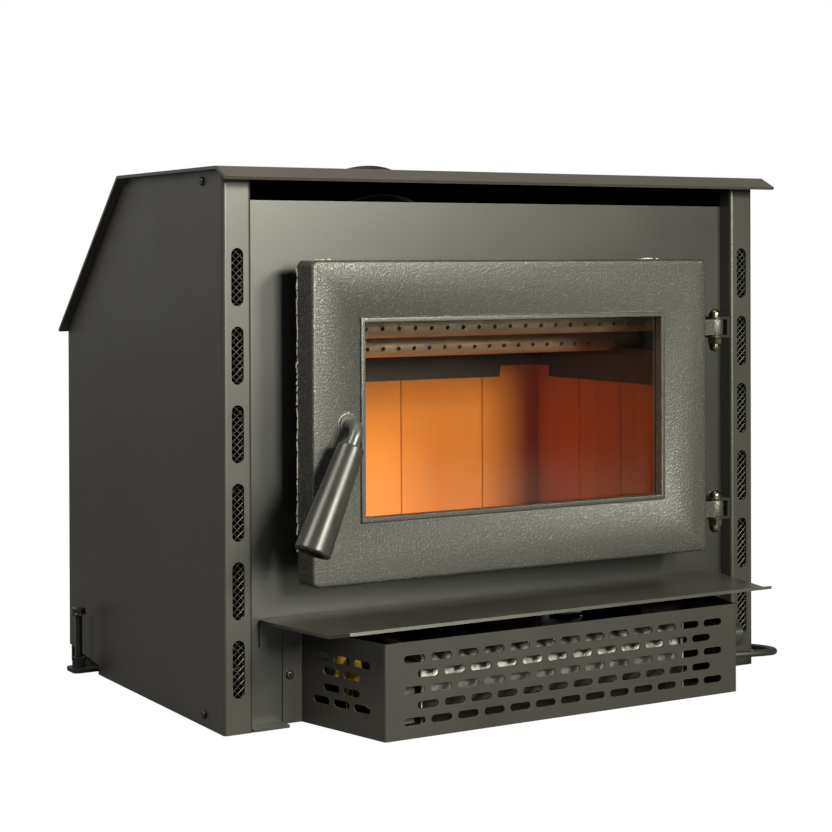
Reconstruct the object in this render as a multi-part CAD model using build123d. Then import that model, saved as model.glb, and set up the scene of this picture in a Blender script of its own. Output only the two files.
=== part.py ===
"""Wood-burning fireplace insert with a cast door, firebrick hearth and a blower under its ash shelf.

Millimetres, +Z up. The origin is the centre of the casing's footprint on the floor, and the door
faces -Y. Depths called "back" are measured from the front of the casing towards the rear.
"""

import math
import os

from build123d import *

os.makedirs("parts", exist_ok=True)

# Casing of bent sheet
casing_width = 630.0
casing_depth = 404.0
casing_height = 524.5
casing_sheet = 2.0
casing_bend = 1.5
base_sheet = 3.0
stile_width = 29.6
plate_recess = 18.0
stile_slot_length = 54.0
stile_slot_width = 12.4
stile_slot_pitch = 72.9
stile_slot_count = 6
stile_slot_lowest = 60.4
mesh_sheet = 1.2
mesh_pitch_across = 7.2
mesh_pitch_up = 6.6
mesh_strand = 1.1
rear_corner_clearance = 19.0
rear_corner_low = 10.0

# Roof of heavier sheet, folded down at the rear and at the front lip
roof_sheet = 3.0
roof_overhang = 9.0
slope_start = 238.0
slope_drop = 162.5
rear_overhang = 7.0
lip_bend_ahead = 5.4
lip_reach = 20.8
lip_drop = 10.4
roof_bend = 3.0
roof_bend_ease = 1.6
roof_angle_leg = 18.0

# Firebox of welded plate
firebox_plate = 5.0
side_air_gap = 27.85
rear_air_gap = 44.8
slope_air_gap = 22.0
support_back = 250.0
support_length = 60.0
support_foot = 22.0
support_half = 180.0
outlet_gap = 27.5
firebox_floor_level = 103.0
flue_bore = 152.4
flue_wall = 3.8
flue_stub = 46.0
flue_up_slope = 18.9
flue_clearance = 2.0

# Firebricks
brick_thickness = 31.75
brick_height = 228.6
brick_pitch = 111.4
brick_first_joint = 58.3
side_brick_pitch = 80.7
side_brick_joint = 88.2
brick_joint = 1.0
brick_seat = 0.4
brick_slope_room = 46.6
brick_tube_gap = 0.4
brick_chamfer = 0.8
retainer_sheet = 3.0
retainer_drop = 35.6
retainer_step = 13.0
rear_retainer_half = 192.0
corner_gap = 26.0
retainer_tube_gap = 1.0

# Secondary air tubes and the baffle that lies on them
tube_radius = 12.7
tube_wall = 2.1
front_tube_back = 70.0
front_tube_height = 374.5
rear_tube_back = 170.0
rear_tube_height = 349.3
tube_hole_radius = 2.4
tube_hole_pitch = 19.05
tube_hole_count = 27
tube_hole_tilt = 15.0
baffle_thickness = 25.0
baffle_half_width = 243.0
baffle_front_back = 45.0
baffle_rear_gap = 3.6
baffle_slope_gap = 49.0

# Door casting
door_width = 463.6
door_height = 305.0
door_shift = -12.9
door_bottom = 135.4
door_front_ahead = 42.0
door_thickness = 29.0
door_draft = 0.8
door_corner = 7.0
door_edge_round = 2.5
door_flat = 13.0
door_dish = 8.5
door_dish_steps = 6
frame_left = 55.4
frame_right = 49.7
frame_top = 54.1
frame_bottom = 56.8
rim_width = 5.0
rim_height = 2.5
rim_corner = 5.0
glass_overlap = 8.0
glass_thickness = 5.0
glass_seat_ahead = 27.0
gasket_thickness = 1.8
gasket_cover = 7.0
rope_radius = 5.7
rope_inset = 18.5
rope_channel_depth = 7.0
rope_gap = 0.3
seat_bar = 6.0
clip_length = 32.0
clip_width = 22.0
clip_sheet = 2.5
clip_inset = 62.0
clip_screw_radius = 2.5

# Hinges
hinge_reach = 23.8
hinge_behind_front = 17.0
hinge_low = 41.7
hinge_high = 72.0
hinge_bolt_radius = 4.0
hinge_running_gap = 0.06
hinge_block_height = 21.6
hinge_arm = 2.5
hinge_side_gap = 0.3
ear_radius = 9.0
ear_half_depth = 7.0
cap_nut_flats = 13.0
cap_nut_height = 15.0
bolt_head_radius = 6.8
bolt_head_height = 8.2

# Door handle and latch
handle_in_from_edge = 38.2
handle_height = 286.9
shaft_radius = 6.35
shaft_running_gap = 0.08
shaft_ahead = 21.0
shaft_elbow = 13.0
shaft_thread_radius = 5.0
grip_from_elbow = 21.0
grip_length = 105.0
grip_top_radius = 12.7
grip_end_radius = 17.2
grip_recess_radius = 12.0
grip_recess_depth = 7.0
grip_lean = 27.2
grip_outward = 6.8
grip_screw_radius = 3.0
washer_radius = 9.5
washer_thickness = 1.6
cam_length = 32.0
cam_width = 16.0
cam_thickness = 6.0
cam_gap = 1.5
latch_nut_height = 6.0

# Ash shelf
shelf_top = 102.0
shelf_sheet = 3.0
shelf_reach = 90.0
shelf_back_half = 271.0
shelf_front_half = 253.5
shelf_lip_reach = 23.0
shelf_lip_rise = 5.0
shelf_lip_half = 244.0
shelf_flange = 26.0

# Primary air control
air_rod_radius = 3.0
air_rod_x = 250.0
air_rod_off_slide = 20.0
air_rod_ahead = 45.0
air_tab_inset = 20.0
air_plate_length = 32.0
air_plate_width = 72.0
air_plate_sheet = 2.0
air_guide_gap = 0.3
air_plate_start = 2.0
air_hole_length = 60.0
air_hole_width = 7.0
air_slide_travel = 35.0

# Blower box
box_shift = 6.4
box_front_width = 411.0
box_back_width = 466.0
box_height = 89.5
box_front_ahead = 97.0
box_sheet = 1.6
box_bend = 1.2
box_flange = 20.0
box_slot_length = 22.8
box_slot_width = 7.2
box_slot_pitch = 29.05
box_slot_columns = 13
box_row_pitch = 14.4
box_middle_row = 44.7
side_slot_pitch = 28.4
side_row_outer = 20.6
side_row_inner = 7.6
side_slot_middle = 46.0
side_slot_back = 60.0
tray_sheet = 1.5
tray_gap = 0.5

# Blower
blower_half = 152.0
blower_axis_ahead = 50.0
blower_axis_height = 46.0
scroll_radius = 30.0
scroll_sheet = 1.2
mouth_top = 13.0
mouth_bottom = -20.0
mouth_length = 24.0
wheel_radius = 24.0
wheel_blades = 24
wheel_blade_depth = 6.0
wheel_blade_sheet = 1.0
blower_shaft_radius = 4.0
bearing_gap = 0.06
end_plate_sheet = 1.5
end_plate_half = 34.0
stack_length = 22.0
stack_width = 60.0
stack_height = 56.0
stack_bore = 14.0
rotor_air_gap = 0.5
coil_width = 30.0
motor_gap = 6.0
knob_radius = 14.0
knob_height = 14.5
knob_gap = 1.0
knob_along = 25.0
knob_level = 53.4
control_length = 34.0
control_depth = 20.0
control_stem_radius = 3.0
wire_nut_radius = 7.5
wire_nut_height = 26.0

# Levelling bolts
level_bolt_out = 16.0
level_bolt_back = 334.0
level_bolt_radius = 4.0
level_bolt_gap = 0.08
level_bolt_length = 62.5
level_head_radius = 8.5
level_head_height = 7.0
level_tip_height = 1.0
level_bracket_width = 28.0
level_bracket_sheet = 4.0
level_bracket_overrun = 10.0
level_bracket_inside = 30.0
level_nut_flats = 13.0
level_nut_height = 11.0

# Screws
screw_radius = 2.0
screw_head_radius = 4.2
screw_head_height = 2.6
screw_length = 7.0
screw_gap = 0.1

# Mains lead
cord_radius = 3.5
relief_along = 60.0
relief_level = 24.0
relief_length = 28.0
relief_flange_radius = 8.0
coil_turns_per_layer = 2.75
coil_inner_radius = 28.0
coil_middle_x = 385.0
coil_middle_y = -12.0
coil_pitch = 7.7
plug_length = 36.0
plug_width = 27.0
plug_height = 22.0


front_y = -casing_depth / 2
half_width = casing_width / 2
roof_top = casing_height + roof_sheet
inner_half = half_width - casing_sheet
plate_front = front_y + plate_recess
plate_back = plate_front + firebox_plate
plate_top = casing_height - outlet_gap
plate_half = half_width - stile_width + casing_sheet
firebox_half = inner_half - side_air_gap
firebox_inner = firebox_half - firebox_plate
firebox_back = casing_depth / 2 - casing_sheet - rear_air_gap
firebox_back_inner = firebox_back - firebox_plate
hearth_floor = firebox_floor_level + firebox_plate
hearth_half = firebox_inner - brick_seat - brick_thickness
hearth_rear = firebox_back_inner - brick_seat - brick_thickness
slope_foot_height = roof_top - slope_drop
slope_angle = math.atan2(slope_drop, casing_depth + rear_overhang - slope_start)
slope_over_wall = roof_top - (firebox_back_inner - front_y - slope_start) * math.tan(slope_angle)
firebox_slope_foot = slope_over_wall - (slope_air_gap + firebox_plate) / math.cos(slope_angle)
brick_top = firebox_slope_foot - brick_slope_room
retainer_bottom = brick_top - retainer_drop

door_left = door_shift - door_width / 2
door_right = door_shift + door_width / 2
door_top = door_bottom + door_height
door_front = front_y - door_front_ahead
door_back = door_front + door_thickness
hinge_x = door_right + hinge_reach
hinge_y = door_front + hinge_behind_front
hinge_levels = (door_bottom + hinge_low, door_top - hinge_high)
handle_x = door_left + handle_in_from_edge
rope_y = door_back - rope_channel_depth + rope_radius
seat_front = rope_y + rope_radius + rope_gap


def block(x0, x1, y0, y1, z0, z1):
    """Box between two opposite corners."""
    size = Box(x1 - x0, y1 - y0, z1 - z0)
    return Pos((x0 + x1) / 2, (y0 + y1) / 2, (z0 + z1) / 2) * size


def rod(radius, start, end):
    """Round bar from one point to another."""
    start, end = Vector(*start), Vector(*end)
    line = end - start
    bar = Cylinder(radius, line.length, align=(Align.CENTER, Align.CENTER, Align.MIN))
    return Plane(origin=start, z_dir=line).location * bar


def cone(radius_start, radius_end, start, end):
    """Tapered bar from one point to another."""
    start, end = Vector(*start), Vector(*end)
    line = end - start
    bar = Cone(radius_start, radius_end, line.length, align=(Align.CENTER, Align.CENTER, Align.MIN))
    return Plane(origin=start, z_dir=line).location * bar


def nut(flats, height, start, direction, hole_radius):
    """Hexagonal nut on an axis."""
    plane = Plane(origin=Vector(*start), z_dir=Vector(*direction))
    body = extrude(RegularPolygon(flats / 2, 6, major_radius=False), height)
    hole = Cylinder(hole_radius, height, align=(Align.CENTER, Align.CENTER, Align.MIN))
    return plane.location * (body - hole)


def screw(point, direction, length=screw_length):
    """Pan-head screw: its head sits on the surface at point, and its shank runs on behind it."""
    point, direction = Vector(*point), Vector(*direction).normalized()
    head = rod(screw_head_radius, point, point + direction * screw_head_height)
    rim = head.edges().filter_by(GeomType.CIRCLE).sort_by_distance(point + direction * 99)[0]
    head = fillet(rim, screw_head_height * 0.6)
    return head + rod(screw_radius, point - direction * length, point + direction)


def screw_hole(point, direction):
    """Clearance hole for a screw, long enough for the sheets it passes."""
    point, direction = Vector(*point), Vector(*direction).normalized()
    reach = direction * (screw_length + 1)
    return rod(screw_radius + screw_gap, point - reach, point + reach)


def facing(x, y, z):
    """Drawing plane that faces the front: its x is +X and its y is +Z."""
    return Plane(origin=(x, y, z), x_dir=(1, 0, 0), z_dir=(0, -1, 0))


def front_rectangle(x0, x1, z0, z1, y, corner=0.0):
    """Upright rectangle at depth y, with round corners if asked."""
    width, height = x1 - x0, z1 - z0
    flat = RectangleRounded(width, height, corner) if corner else Rectangle(width, height)
    return facing((x0 + x1) / 2, y, (z0 + z1) / 2) * flat


def front_plate_of(x0, x1, z0, z1, y0, y1, corner=0.0):
    """Upright slab between two depths."""
    return extrude(front_rectangle(x0, x1, z0, z1, y1, corner), y1 - y0)


def bent_strip(points, sheet, bend, side):
    """Section of a bent sheet whose one surface follows the points; side 1 puts it on their left."""
    points = [Vector(*point) for point in points]
    runs = [(b - a).normalized() for a, b in zip(points, points[1:])]
    normals = [Vector(-run.Y, run.X) * side for run in runs]
    offset = [points[0] + normals[0] * sheet]
    near, far = [], []
    for index in range(1, len(points) - 1):
        first, second = normals[index - 1], normals[index]
        offset.append(points[index] + (first + second) * (sheet / (1 + first.dot(second))))
        turn = runs[index - 1].cross(runs[index]).Z * side
        near.append(bend + sheet if turn > 0 else bend)
        far.append(bend if turn > 0 else bend + sheet)
    offset.append(points[-1] + normals[-1] * sheet)
    edge = FilletPolyline(*points, radius=near)
    back = FilletPolyline(*offset, radius=far)
    outline = edge + Line(points[-1], offset[-1]) + back + Line(offset[0], points[0])
    return make_face(outline)


def slope_height(back, below=0.0):
    """Height of the rear slope's outer surface at a depth, or of a plane parallel to it below."""
    drop = (back - slope_start) * math.tan(slope_angle)
    return roof_top - drop - below / math.cos(slope_angle)


def slope_depth(height, below=0.0):
    """Depth from the front at which that plane reaches a height."""
    return slope_start + (slope_height(slope_start, below) - height) / math.tan(slope_angle)


def side_outline(start, end, bottom, top, below):
    """Outline in Y and Z of a wall under the rear slope, between two depths from the front."""
    return [
        (front_y + start, bottom),
        (front_y + end, bottom),
        (front_y + end, slope_height(end, below)),
        (front_y + slope_depth(top, below), top),
        (front_y + start, top),
    ]


def wall_under_slope(points, x0, x1):
    """Upright wall with the given outline in Y and Z, between two X positions."""
    face = make_face(Polyline(*points, close=True))
    return Pos(x0, 0, 0) * extrude(Plane.YZ * face, x1 - x0)


def save(name, *solids):
    """Write the solids of one sub-part."""
    group = solids[0] if len(solids) == 1 else Compound(list(solids))
    export_step(group, f"parts/{name}.step")


# Fastener positions that several pieces share
side_screw_y = front_y + 44.5
side_screws = [(half_width, side_screw_y, 12.0), (half_width, side_screw_y, casing_height - 9.5)]
flange_screw_x = box_back_width / 2 + 12.6
flange_screw_level = 46.1


def box_side(along, out=0.0, level=0.0):
    """Point on the right wall of the blower box, measured back along it from the front corner."""
    front = Vector(box_shift + box_front_width / 2, front_y - box_front_ahead, level)
    back = Vector(box_shift + box_back_width / 2, plate_front - box_sheet, level)
    run = (back - front).normalized()
    normal = Vector(run.Y, -run.X, 0)
    return front + run * along + normal * out


def box_side_directions():
    """Unit vectors along the right wall of the blower box and out of it."""
    along = (box_side(1.0) - box_side(0.0)).normalized()
    return along, Vector(along.Y, -along.X, 0)


def casing_base():
    """Floor sheet of the casing with turned-up sides."""
    side = inner_half
    points = [(-side, roof_angle_leg), (-side, 0), (side, 0), (side, roof_angle_leg)]
    face = bent_strip(points, base_sheet, casing_bend, 1)
    rear = casing_depth / 2 - casing_sheet
    tray = extrude(Plane.XZ * face, plate_front - rear)
    tray = Pos(0, plate_front, 0) * tray
    flange_start = plate_back + 1.0
    for sign in (-1, 1):
        edge = sorted((sign * (side - base_sheet - 3), sign * (side + 1)))
        tray -= block(edge[0], edge[1], plate_front - 1, flange_start, base_sheet, 99)
        notch = front_y + level_bolt_back - level_bracket_width
        tray -= block(edge[0], edge[1], notch, casing_depth / 2, base_sheet, 99)
        near = box_shift + sign * (box_back_width / 2 + box_flange + 1)
        toe = sorted((near, sign * (half_width - stile_width)))
        tray += block(toe[0], toe[1], front_y, plate_front, 0, base_sheet)
    for x, y, z in side_screws[:1]:
        tray -= screw_hole((x, y, z), (1, 0, 0))
        tray -= screw_hole((-x, y, z), (-1, 0, 0))
    return tray


def side_panel():
    """Right side of the casing, bent in at the front into the slotted stile."""
    rear = casing_depth / 2
    inner = half_width - stile_width
    points = [(half_width, rear), (half_width, front_y), (inner, front_y), (inner, plate_front)]
    face = bent_strip(points, casing_sheet, casing_bend, -1)
    panel = extrude(face, casing_height)
    top = casing_height
    corner = slope_depth(top, roof_sheet)
    waste = [
        (front_y + corner - roof_bend_ease, top + 9),
        (front_y + corner - roof_bend_ease, top),
        (front_y + corner + roof_bend_ease, slope_height(corner + roof_bend_ease, roof_sheet)),
        (rear + 1, slope_height(casing_depth + 1, roof_sheet)),
        (rear + 1, top + 9),
    ]
    panel -= wall_under_slope(waste, half_width - 2 * stile_width, half_width + 1)
    notch = front_y + level_bolt_back - level_bracket_width / 2 - 2
    corner = [
        (notch, -1),
        (notch, rear_corner_low),
        (rear + 1, rear_corner_clearance),
        (rear + 1, -1),
    ]
    panel -= wall_under_slope(corner, half_width - casing_sheet - 1, half_width + 1)
    slot = facing(0, front_y - 1, 0) * Rot(0, 0, 90) * SlotOverall(stile_slot_length, stile_slot_width)
    cutter = extrude(slot, -(casing_sheet + 2))
    for index in range(stile_slot_count):
        level = stile_slot_lowest + index * stile_slot_pitch
        panel -= Pos(half_width - stile_width / 2, 0, level) * cutter
    for point in side_screws:
        panel -= screw_hole(point, (1, 0, 0))
    return panel


def stile_mesh():
    """Expanded metal strip behind the right stile, open behind each slot."""
    y0 = front_y + casing_sheet
    low = stile_slot_lowest - stile_slot_length / 2 - 6
    high = stile_slot_lowest + (stile_slot_count - 1) * stile_slot_pitch + stile_slot_length / 2 + 6
    x0 = half_width - stile_width + casing_sheet + casing_bend
    x1 = inner_half - casing_bend
    across = (mesh_pitch_across - mesh_strand * 1.4) / 2
    up = (mesh_pitch_up - mesh_strand * 1.4) / 2
    diamond = make_face(Polyline((across, 0), (0, up), (-across, 0), (0, -up), close=True))
    rows = int(stile_slot_length / mesh_pitch_up * 2)
    places = []
    for index in range(stile_slot_count):
        middle = stile_slot_lowest + index * stile_slot_pitch
        for row in range(rows):
            level = middle + (row - (rows - 1) / 2) * mesh_pitch_up / 2
            columns = (-1, 0, 1) if row % 2 else (-0.5, 0.5)
            places += [(half_width - stile_width / 2 + c * mesh_pitch_across, level) for c in columns]
    sheet = Pos((x0 + x1) / 2, (low + high) / 2) * Rectangle(x1 - x0, high - low)
    sheet -= [Pos(x, z) * diamond for x, z in places]
    print("mesh strip", len(places), "gaps each side")
    return extrude(facing(0, y0 + mesh_sheet, 0) * sheet, mesh_sheet)


def top_cover():
    """Roof sheet with its front lip, rear slope and the hole for the flue collar."""
    tip = (front_y - lip_bend_ahead - lip_reach, roof_top - lip_drop)
    points = [
        tip,
        (front_y - lip_bend_ahead, roof_top),
        (front_y + slope_start, roof_top),
        (casing_depth / 2 + rear_overhang, slope_foot_height),
    ]
    face = bent_strip(points, roof_sheet, roof_bend, -1)
    cover = extrude(Plane.YZ * face, half_width + roof_overhang, both=True)
    return cover - flue_cylinder(flue_bore / 2 + flue_wall + flue_clearance, -9, 9)


def roof_angles():
    """Small angles inside the top of each side panel that carry the roof."""
    end = slope_depth(casing_height, roof_sheet) - 4
    leg = roof_angle_leg
    outer = inner_half
    points = [(outer - leg, casing_height), (outer, casing_height), (outer, casing_height - leg)]
    face = bent_strip(points, casing_sheet, casing_bend, -1)
    angle = extrude(Plane.XZ * face, -(end - plate_recess - firebox_plate - 2))
    angle = Pos(0, plate_back + 2, 0) * angle
    for point in side_screws:
        angle -= screw_hole(point, (1, 0, 0))
    return angle, mirror(angle, about=Plane.YZ)


def rear_panel():
    """Flat rear sheet between the side panels, under the foot of the slope."""
    rear = casing_depth / 2
    top = slope_height(casing_depth, roof_sheet) - 0.3
    return block(-inner_half, inner_half, rear - casing_sheet, rear, 0, top)


def flue_axis():
    """Foot of the flue collar's axis on the outer slope, and its direction."""
    middle = (slope_start + casing_depth + rear_overhang) / 2
    back = middle - flue_up_slope * math.cos(slope_angle)
    foot = Vector(0, front_y + back, slope_height(back))
    return foot, Vector(0, math.sin(slope_angle), math.cos(slope_angle))


def flue_cylinder(radius, start, end):
    """Round bar on the collar's axis, between two distances from the outer slope."""
    foot, direction = flue_axis()
    return rod(radius, foot + direction * start, foot + direction * end)


def flue_collar():
    """Round collar that the liner fits, standing on the firebox's slope through the roof."""
    outer = flue_cylinder(flue_bore / 2 + flue_wall, -slope_air_gap, flue_stub)
    collar = outer - flue_cylinder(flue_bore / 2, -slope_air_gap - 1, flue_stub + 1)
    rims = collar.edges().filter_by(GeomType.CIRCLE).sort_by(Axis.Z)[-2:]
    return fillet(rims, flue_wall * 0.3)


def front_plate():
    """Face plate of the firebox, with the door opening and the blower's air passage."""
    plate = front_plate_of(-plate_half, plate_half, base_sheet, plate_top, plate_front, plate_back)
    inset = rope_inset + seat_bar / 2
    x0, x1 = door_left + inset, door_right - inset
    z0, z1 = door_bottom + inset, door_top - inset
    plate -= front_plate_of(x0, x1, z0, z1, plate_front - 1, plate_back + 1, 2.0)
    passage = box_front_width / 2 - 20
    low, high = base_sheet + 12, box_height - 9
    plate -= front_plate_of(
        box_shift - passage, box_shift + passage, low, high, plate_front - 1, plate_back + 1, 4.0
    )
    rod_level = shelf_top - shelf_sheet - air_rod_radius - 1.5
    plate -= rod(
        air_rod_radius + 0.6,
        (air_rod_x, plate_front - 1, rod_level),
        (air_rod_x, plate_back + 1, rod_level),
    )
    for sign in (-1, 1):
        x = box_shift + sign * flange_screw_x
        plate -= screw_hole((x, plate_front, flange_screw_level), (0, -1, 0))
    return plate


def door_seat():
    """Bar frame welded round the door opening, which the rope seals against."""
    outer = rope_inset - seat_bar / 2
    inner = rope_inset + seat_bar / 2
    ring = front_plate_of(
        door_left + outer, door_right - outer, door_bottom + outer, door_top - outer,
        seat_front, plate_front, 6.0,
    )
    return ring - front_plate_of(
        door_left + inner, door_right - inner, door_bottom + inner, door_top - inner,
        seat_front - 1, plate_front + 1, 2.0,
    )


def firebox_floor():
    """Floor plate of the firebox with the primary air inlet."""
    floor = block(-firebox_half, firebox_half, plate_back, firebox_back, firebox_floor_level, hearth_floor)
    middle = plate_back + air_plate_start + 1.5 + air_hole_width / 2
    across = air_rod_x - air_rod_off_slide
    x0, x1 = across - air_hole_length / 2, across + air_hole_length / 2
    return floor - block(
        x0, x1, middle - air_hole_width / 2, middle + air_hole_width / 2, firebox_floor_level - 1,
        hearth_floor + 1,
    )


def firebox_supports():
    """Bent legs on the base that carry the rear of the firebox."""
    depth = front_y + support_back
    top = firebox_floor_level - casing_sheet
    leg = [(0, base_sheet), (support_foot, base_sheet), (support_foot, top), (2 * support_foot, top)]
    left = bent_strip(leg, casing_sheet, casing_bend, 1)
    body = extrude(Plane.XZ * left, -support_length)
    body = Pos(support_half, depth, 0) * body
    return body, mirror(body, about=Plane.YZ)


def firebox_side_walls():
    """Upright walls of the firebox, cut to the rear slope."""
    below = slope_air_gap + firebox_plate
    top = plate_top - firebox_plate
    points = side_outline(
        plate_recess + firebox_plate, casing_depth / 2 + firebox_back, hearth_floor, top, below
    )
    right = wall_under_slope(points, firebox_inner, firebox_half)
    return right, mirror(right, about=Plane.YZ)


def firebox_back_wall():
    """Upright rear wall of the firebox between its side walls."""
    back = firebox_back - front_y
    inner_back = back - firebox_plate
    below = slope_air_gap + firebox_plate
    points = [
        (front_y + inner_back, hearth_floor),
        (front_y + back, hearth_floor),
        (front_y + back, slope_height(back, below)),
        (front_y + inner_back, slope_height(inner_back, below)),
    ]
    return wall_under_slope(points, -firebox_inner, firebox_inner)


def firebox_top():
    """Flat top plate of the firebox."""
    end = slope_depth(plate_top, slope_air_gap)
    points = [
        (plate_back, plate_top - firebox_plate),
        (front_y + slope_depth(plate_top - firebox_plate, slope_air_gap + firebox_plate),
         plate_top - firebox_plate),
        (front_y + end, plate_top),
        (plate_back, plate_top),
    ]
    return wall_under_slope(points, -firebox_half, firebox_half)


def firebox_slope():
    """Sloping rear plate of the firebox, with the flue outlet."""
    back = firebox_back - front_y
    low = slope_air_gap + firebox_plate
    start_low = slope_depth(plate_top - firebox_plate, low)
    start_high = slope_depth(plate_top, slope_air_gap)
    points = [
        (front_y + start_low, plate_top - firebox_plate),
        (front_y + start_high, plate_top),
        (front_y + back, slope_height(back, slope_air_gap)),
        (front_y + back, slope_height(back, low)),
    ]
    plate = wall_under_slope(points, -firebox_half, firebox_half)
    return plate - flue_cylinder(flue_bore / 2 + 1.3, -low - 5, -slope_air_gap + 5)


def brick(x0, x1, y0, y1, z0, z1):
    """One firebrick with eased edges."""
    body = block(x0, x1, y0, y1, z0, z1)
    return chamfer(body.edges(), brick_chamfer)


def cuts(low, high, joint, pitch):
    """Ends of the bricks that fill a stretch, given one joint and the brick's width."""
    first = joint - math.floor((joint - low) / pitch) * pitch
    joints = []
    place = first
    while place < high - 1:
        if place > low + 1:
            joints.append(place)
        place += pitch
    ends = [low] + joints + [high]
    half = brick_joint / 2
    pairs = list(zip(ends, ends[1:]))
    return [
        (a + (half if a != low else 0), b - (half if b != high else 0)) for a, b in pairs
    ]


def rear_firebricks():
    """Row of upright bricks against the rear wall."""
    rear = firebox_back_inner - brick_seat
    rows = cuts(-hearth_half + brick_seat, hearth_half - brick_seat, brick_first_joint, brick_pitch)
    return [brick(a, b, hearth_rear, rear, hearth_floor, brick_top) for a, b in rows]


def side_firebricks():
    """Upright bricks against both side walls."""
    front = plate_back + 12
    rear = firebox_back_inner - brick_seat
    joint = hearth_rear - side_brick_joint
    bricks = []
    for a, b in cuts(front, joint + side_brick_pitch, joint, side_brick_pitch):
        end = rear if b > joint + side_brick_pitch / 2 else b
        right = brick(hearth_half, firebox_inner - brick_seat, a, end, hearth_floor, brick_top)
        right -= tube_clearance(brick_tube_gap)
        bricks += [right, mirror(right, about=Plane.YZ)]
    return bricks


def floor_firebricks():
    """Bricks that cover the hearth floor."""
    front = plate_back + 12
    half = hearth_half - brick_seat
    columns = cuts(-half, half, brick_first_joint, brick_pitch)
    rows = cuts(front, hearth_rear - brick_seat, hearth_rear - brick_height / 1.6, brick_height)
    top = hearth_floor + brick_thickness
    return [
        brick(x0, x1, y0, y1, hearth_floor, top) for x0, x1 in columns for y0, y1 in rows
    ]


def tube_axis(which):
    """Depth and height of a secondary air tube."""
    if which == "front":
        return front_y + front_tube_back, front_tube_height
    return front_y + rear_tube_back, rear_tube_height


def tube_clearance(gap):
    """Room for both tubes where they pass the lining, on the right side."""
    room = []
    for which in ("front", "rear"):
        y, z = tube_axis(which)
        room.append(rod(tube_radius + gap, (hearth_half - 5, y, z), (firebox_inner + 1, y, z)))
    return room


def brick_retainers():
    """Angles that hold the tops of the rear and side bricks."""
    lip_top = brick_top + 0.6 + retainer_sheet
    front = hearth_rear - brick_seat - retainer_sheet
    rear = firebox_back_inner
    half = hearth_half - brick_seat - retainer_sheet - 0.4
    upper = retainer_bottom + retainer_step
    face = block(-half, half, front, front + retainer_sheet, upper, lip_top)
    low = [(-rear_retainer_half, retainer_bottom), (rear_retainer_half, retainer_bottom),
           (rear_retainer_half + 1.5, upper), (-rear_retainer_half - 1.5, upper)]
    tab = extrude(facing(0, front + retainer_sheet, 0) * make_face(Polyline(*low, close=True)),
                  retainer_sheet)
    leg = block(-half, half, front, rear, lip_top - retainer_sheet, lip_top)
    back = face + tab + leg
    x0, x1 = hearth_half - brick_seat - retainer_sheet, firebox_inner
    start, end = plate_back + 14, front - 0.4
    side = block(x0, x0 + retainer_sheet, start, end, upper, lip_top)
    side += block(x0, x0 + retainer_sheet, start, end - corner_gap, retainer_bottom, upper)
    side += block(x0, x1, start, end, lip_top - retainer_sheet, lip_top)
    side -= tube_clearance(retainer_tube_gap)
    return back, side, mirror(side, about=Plane.YZ)


def air_tube(which):
    """Perforated tube across the top of the firebox."""
    y, z = tube_axis(which)
    half = firebox_inner
    tube = rod(tube_radius, (-half, y, z), (half, y, z))
    tube -= rod(tube_radius - tube_wall, (-half - 1, y, z), (half + 1, y, z))
    tilt = math.radians(tube_hole_tilt)
    reach = Vector(0, -math.cos(tilt), -math.sin(tilt)) * (tube_radius + 1)
    for index in range(tube_hole_count):
        x = (index - (tube_hole_count - 1) / 2) * tube_hole_pitch
        centre = Vector(x, y, z)
        tube -= rod(tube_hole_radius, centre, centre + reach)
    return tube


def baffle_board():
    """Insulating board that lies on the two tubes."""
    front_axis, rear_axis = tube_axis("front"), tube_axis("rear")
    run = Vector(rear_axis[0] - front_axis[0], rear_axis[1] - front_axis[1]).normalized()
    up = Vector(-run.Y, run.X)
    seat = Vector(*front_axis) + up * (tube_radius + 0.3)
    start = (front_y + baffle_front_back - seat.X) / run.X
    rear = hearth_rear - brick_seat - retainer_sheet - baffle_rear_gap
    below = slope_air_gap + firebox_plate + baffle_slope_gap
    rise = run.Y + run.X * math.tan(slope_angle)
    ends = []
    for line in (seat, seat + up * baffle_thickness):
        ends.append((rear - line.X) / run.X)
        ends.append((slope_height(line.X - front_y, below) - line.Y) / rise)
    end = min(ends)
    top = up * baffle_thickness
    points = [seat + run * start, seat + run * end, seat + run * end + top, seat + run * start + top]
    face = make_face(Polyline(*[(p.X, p.Y) for p in points], close=True))
    return extrude(Plane.YZ * face, baffle_half_width, both=True)


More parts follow.
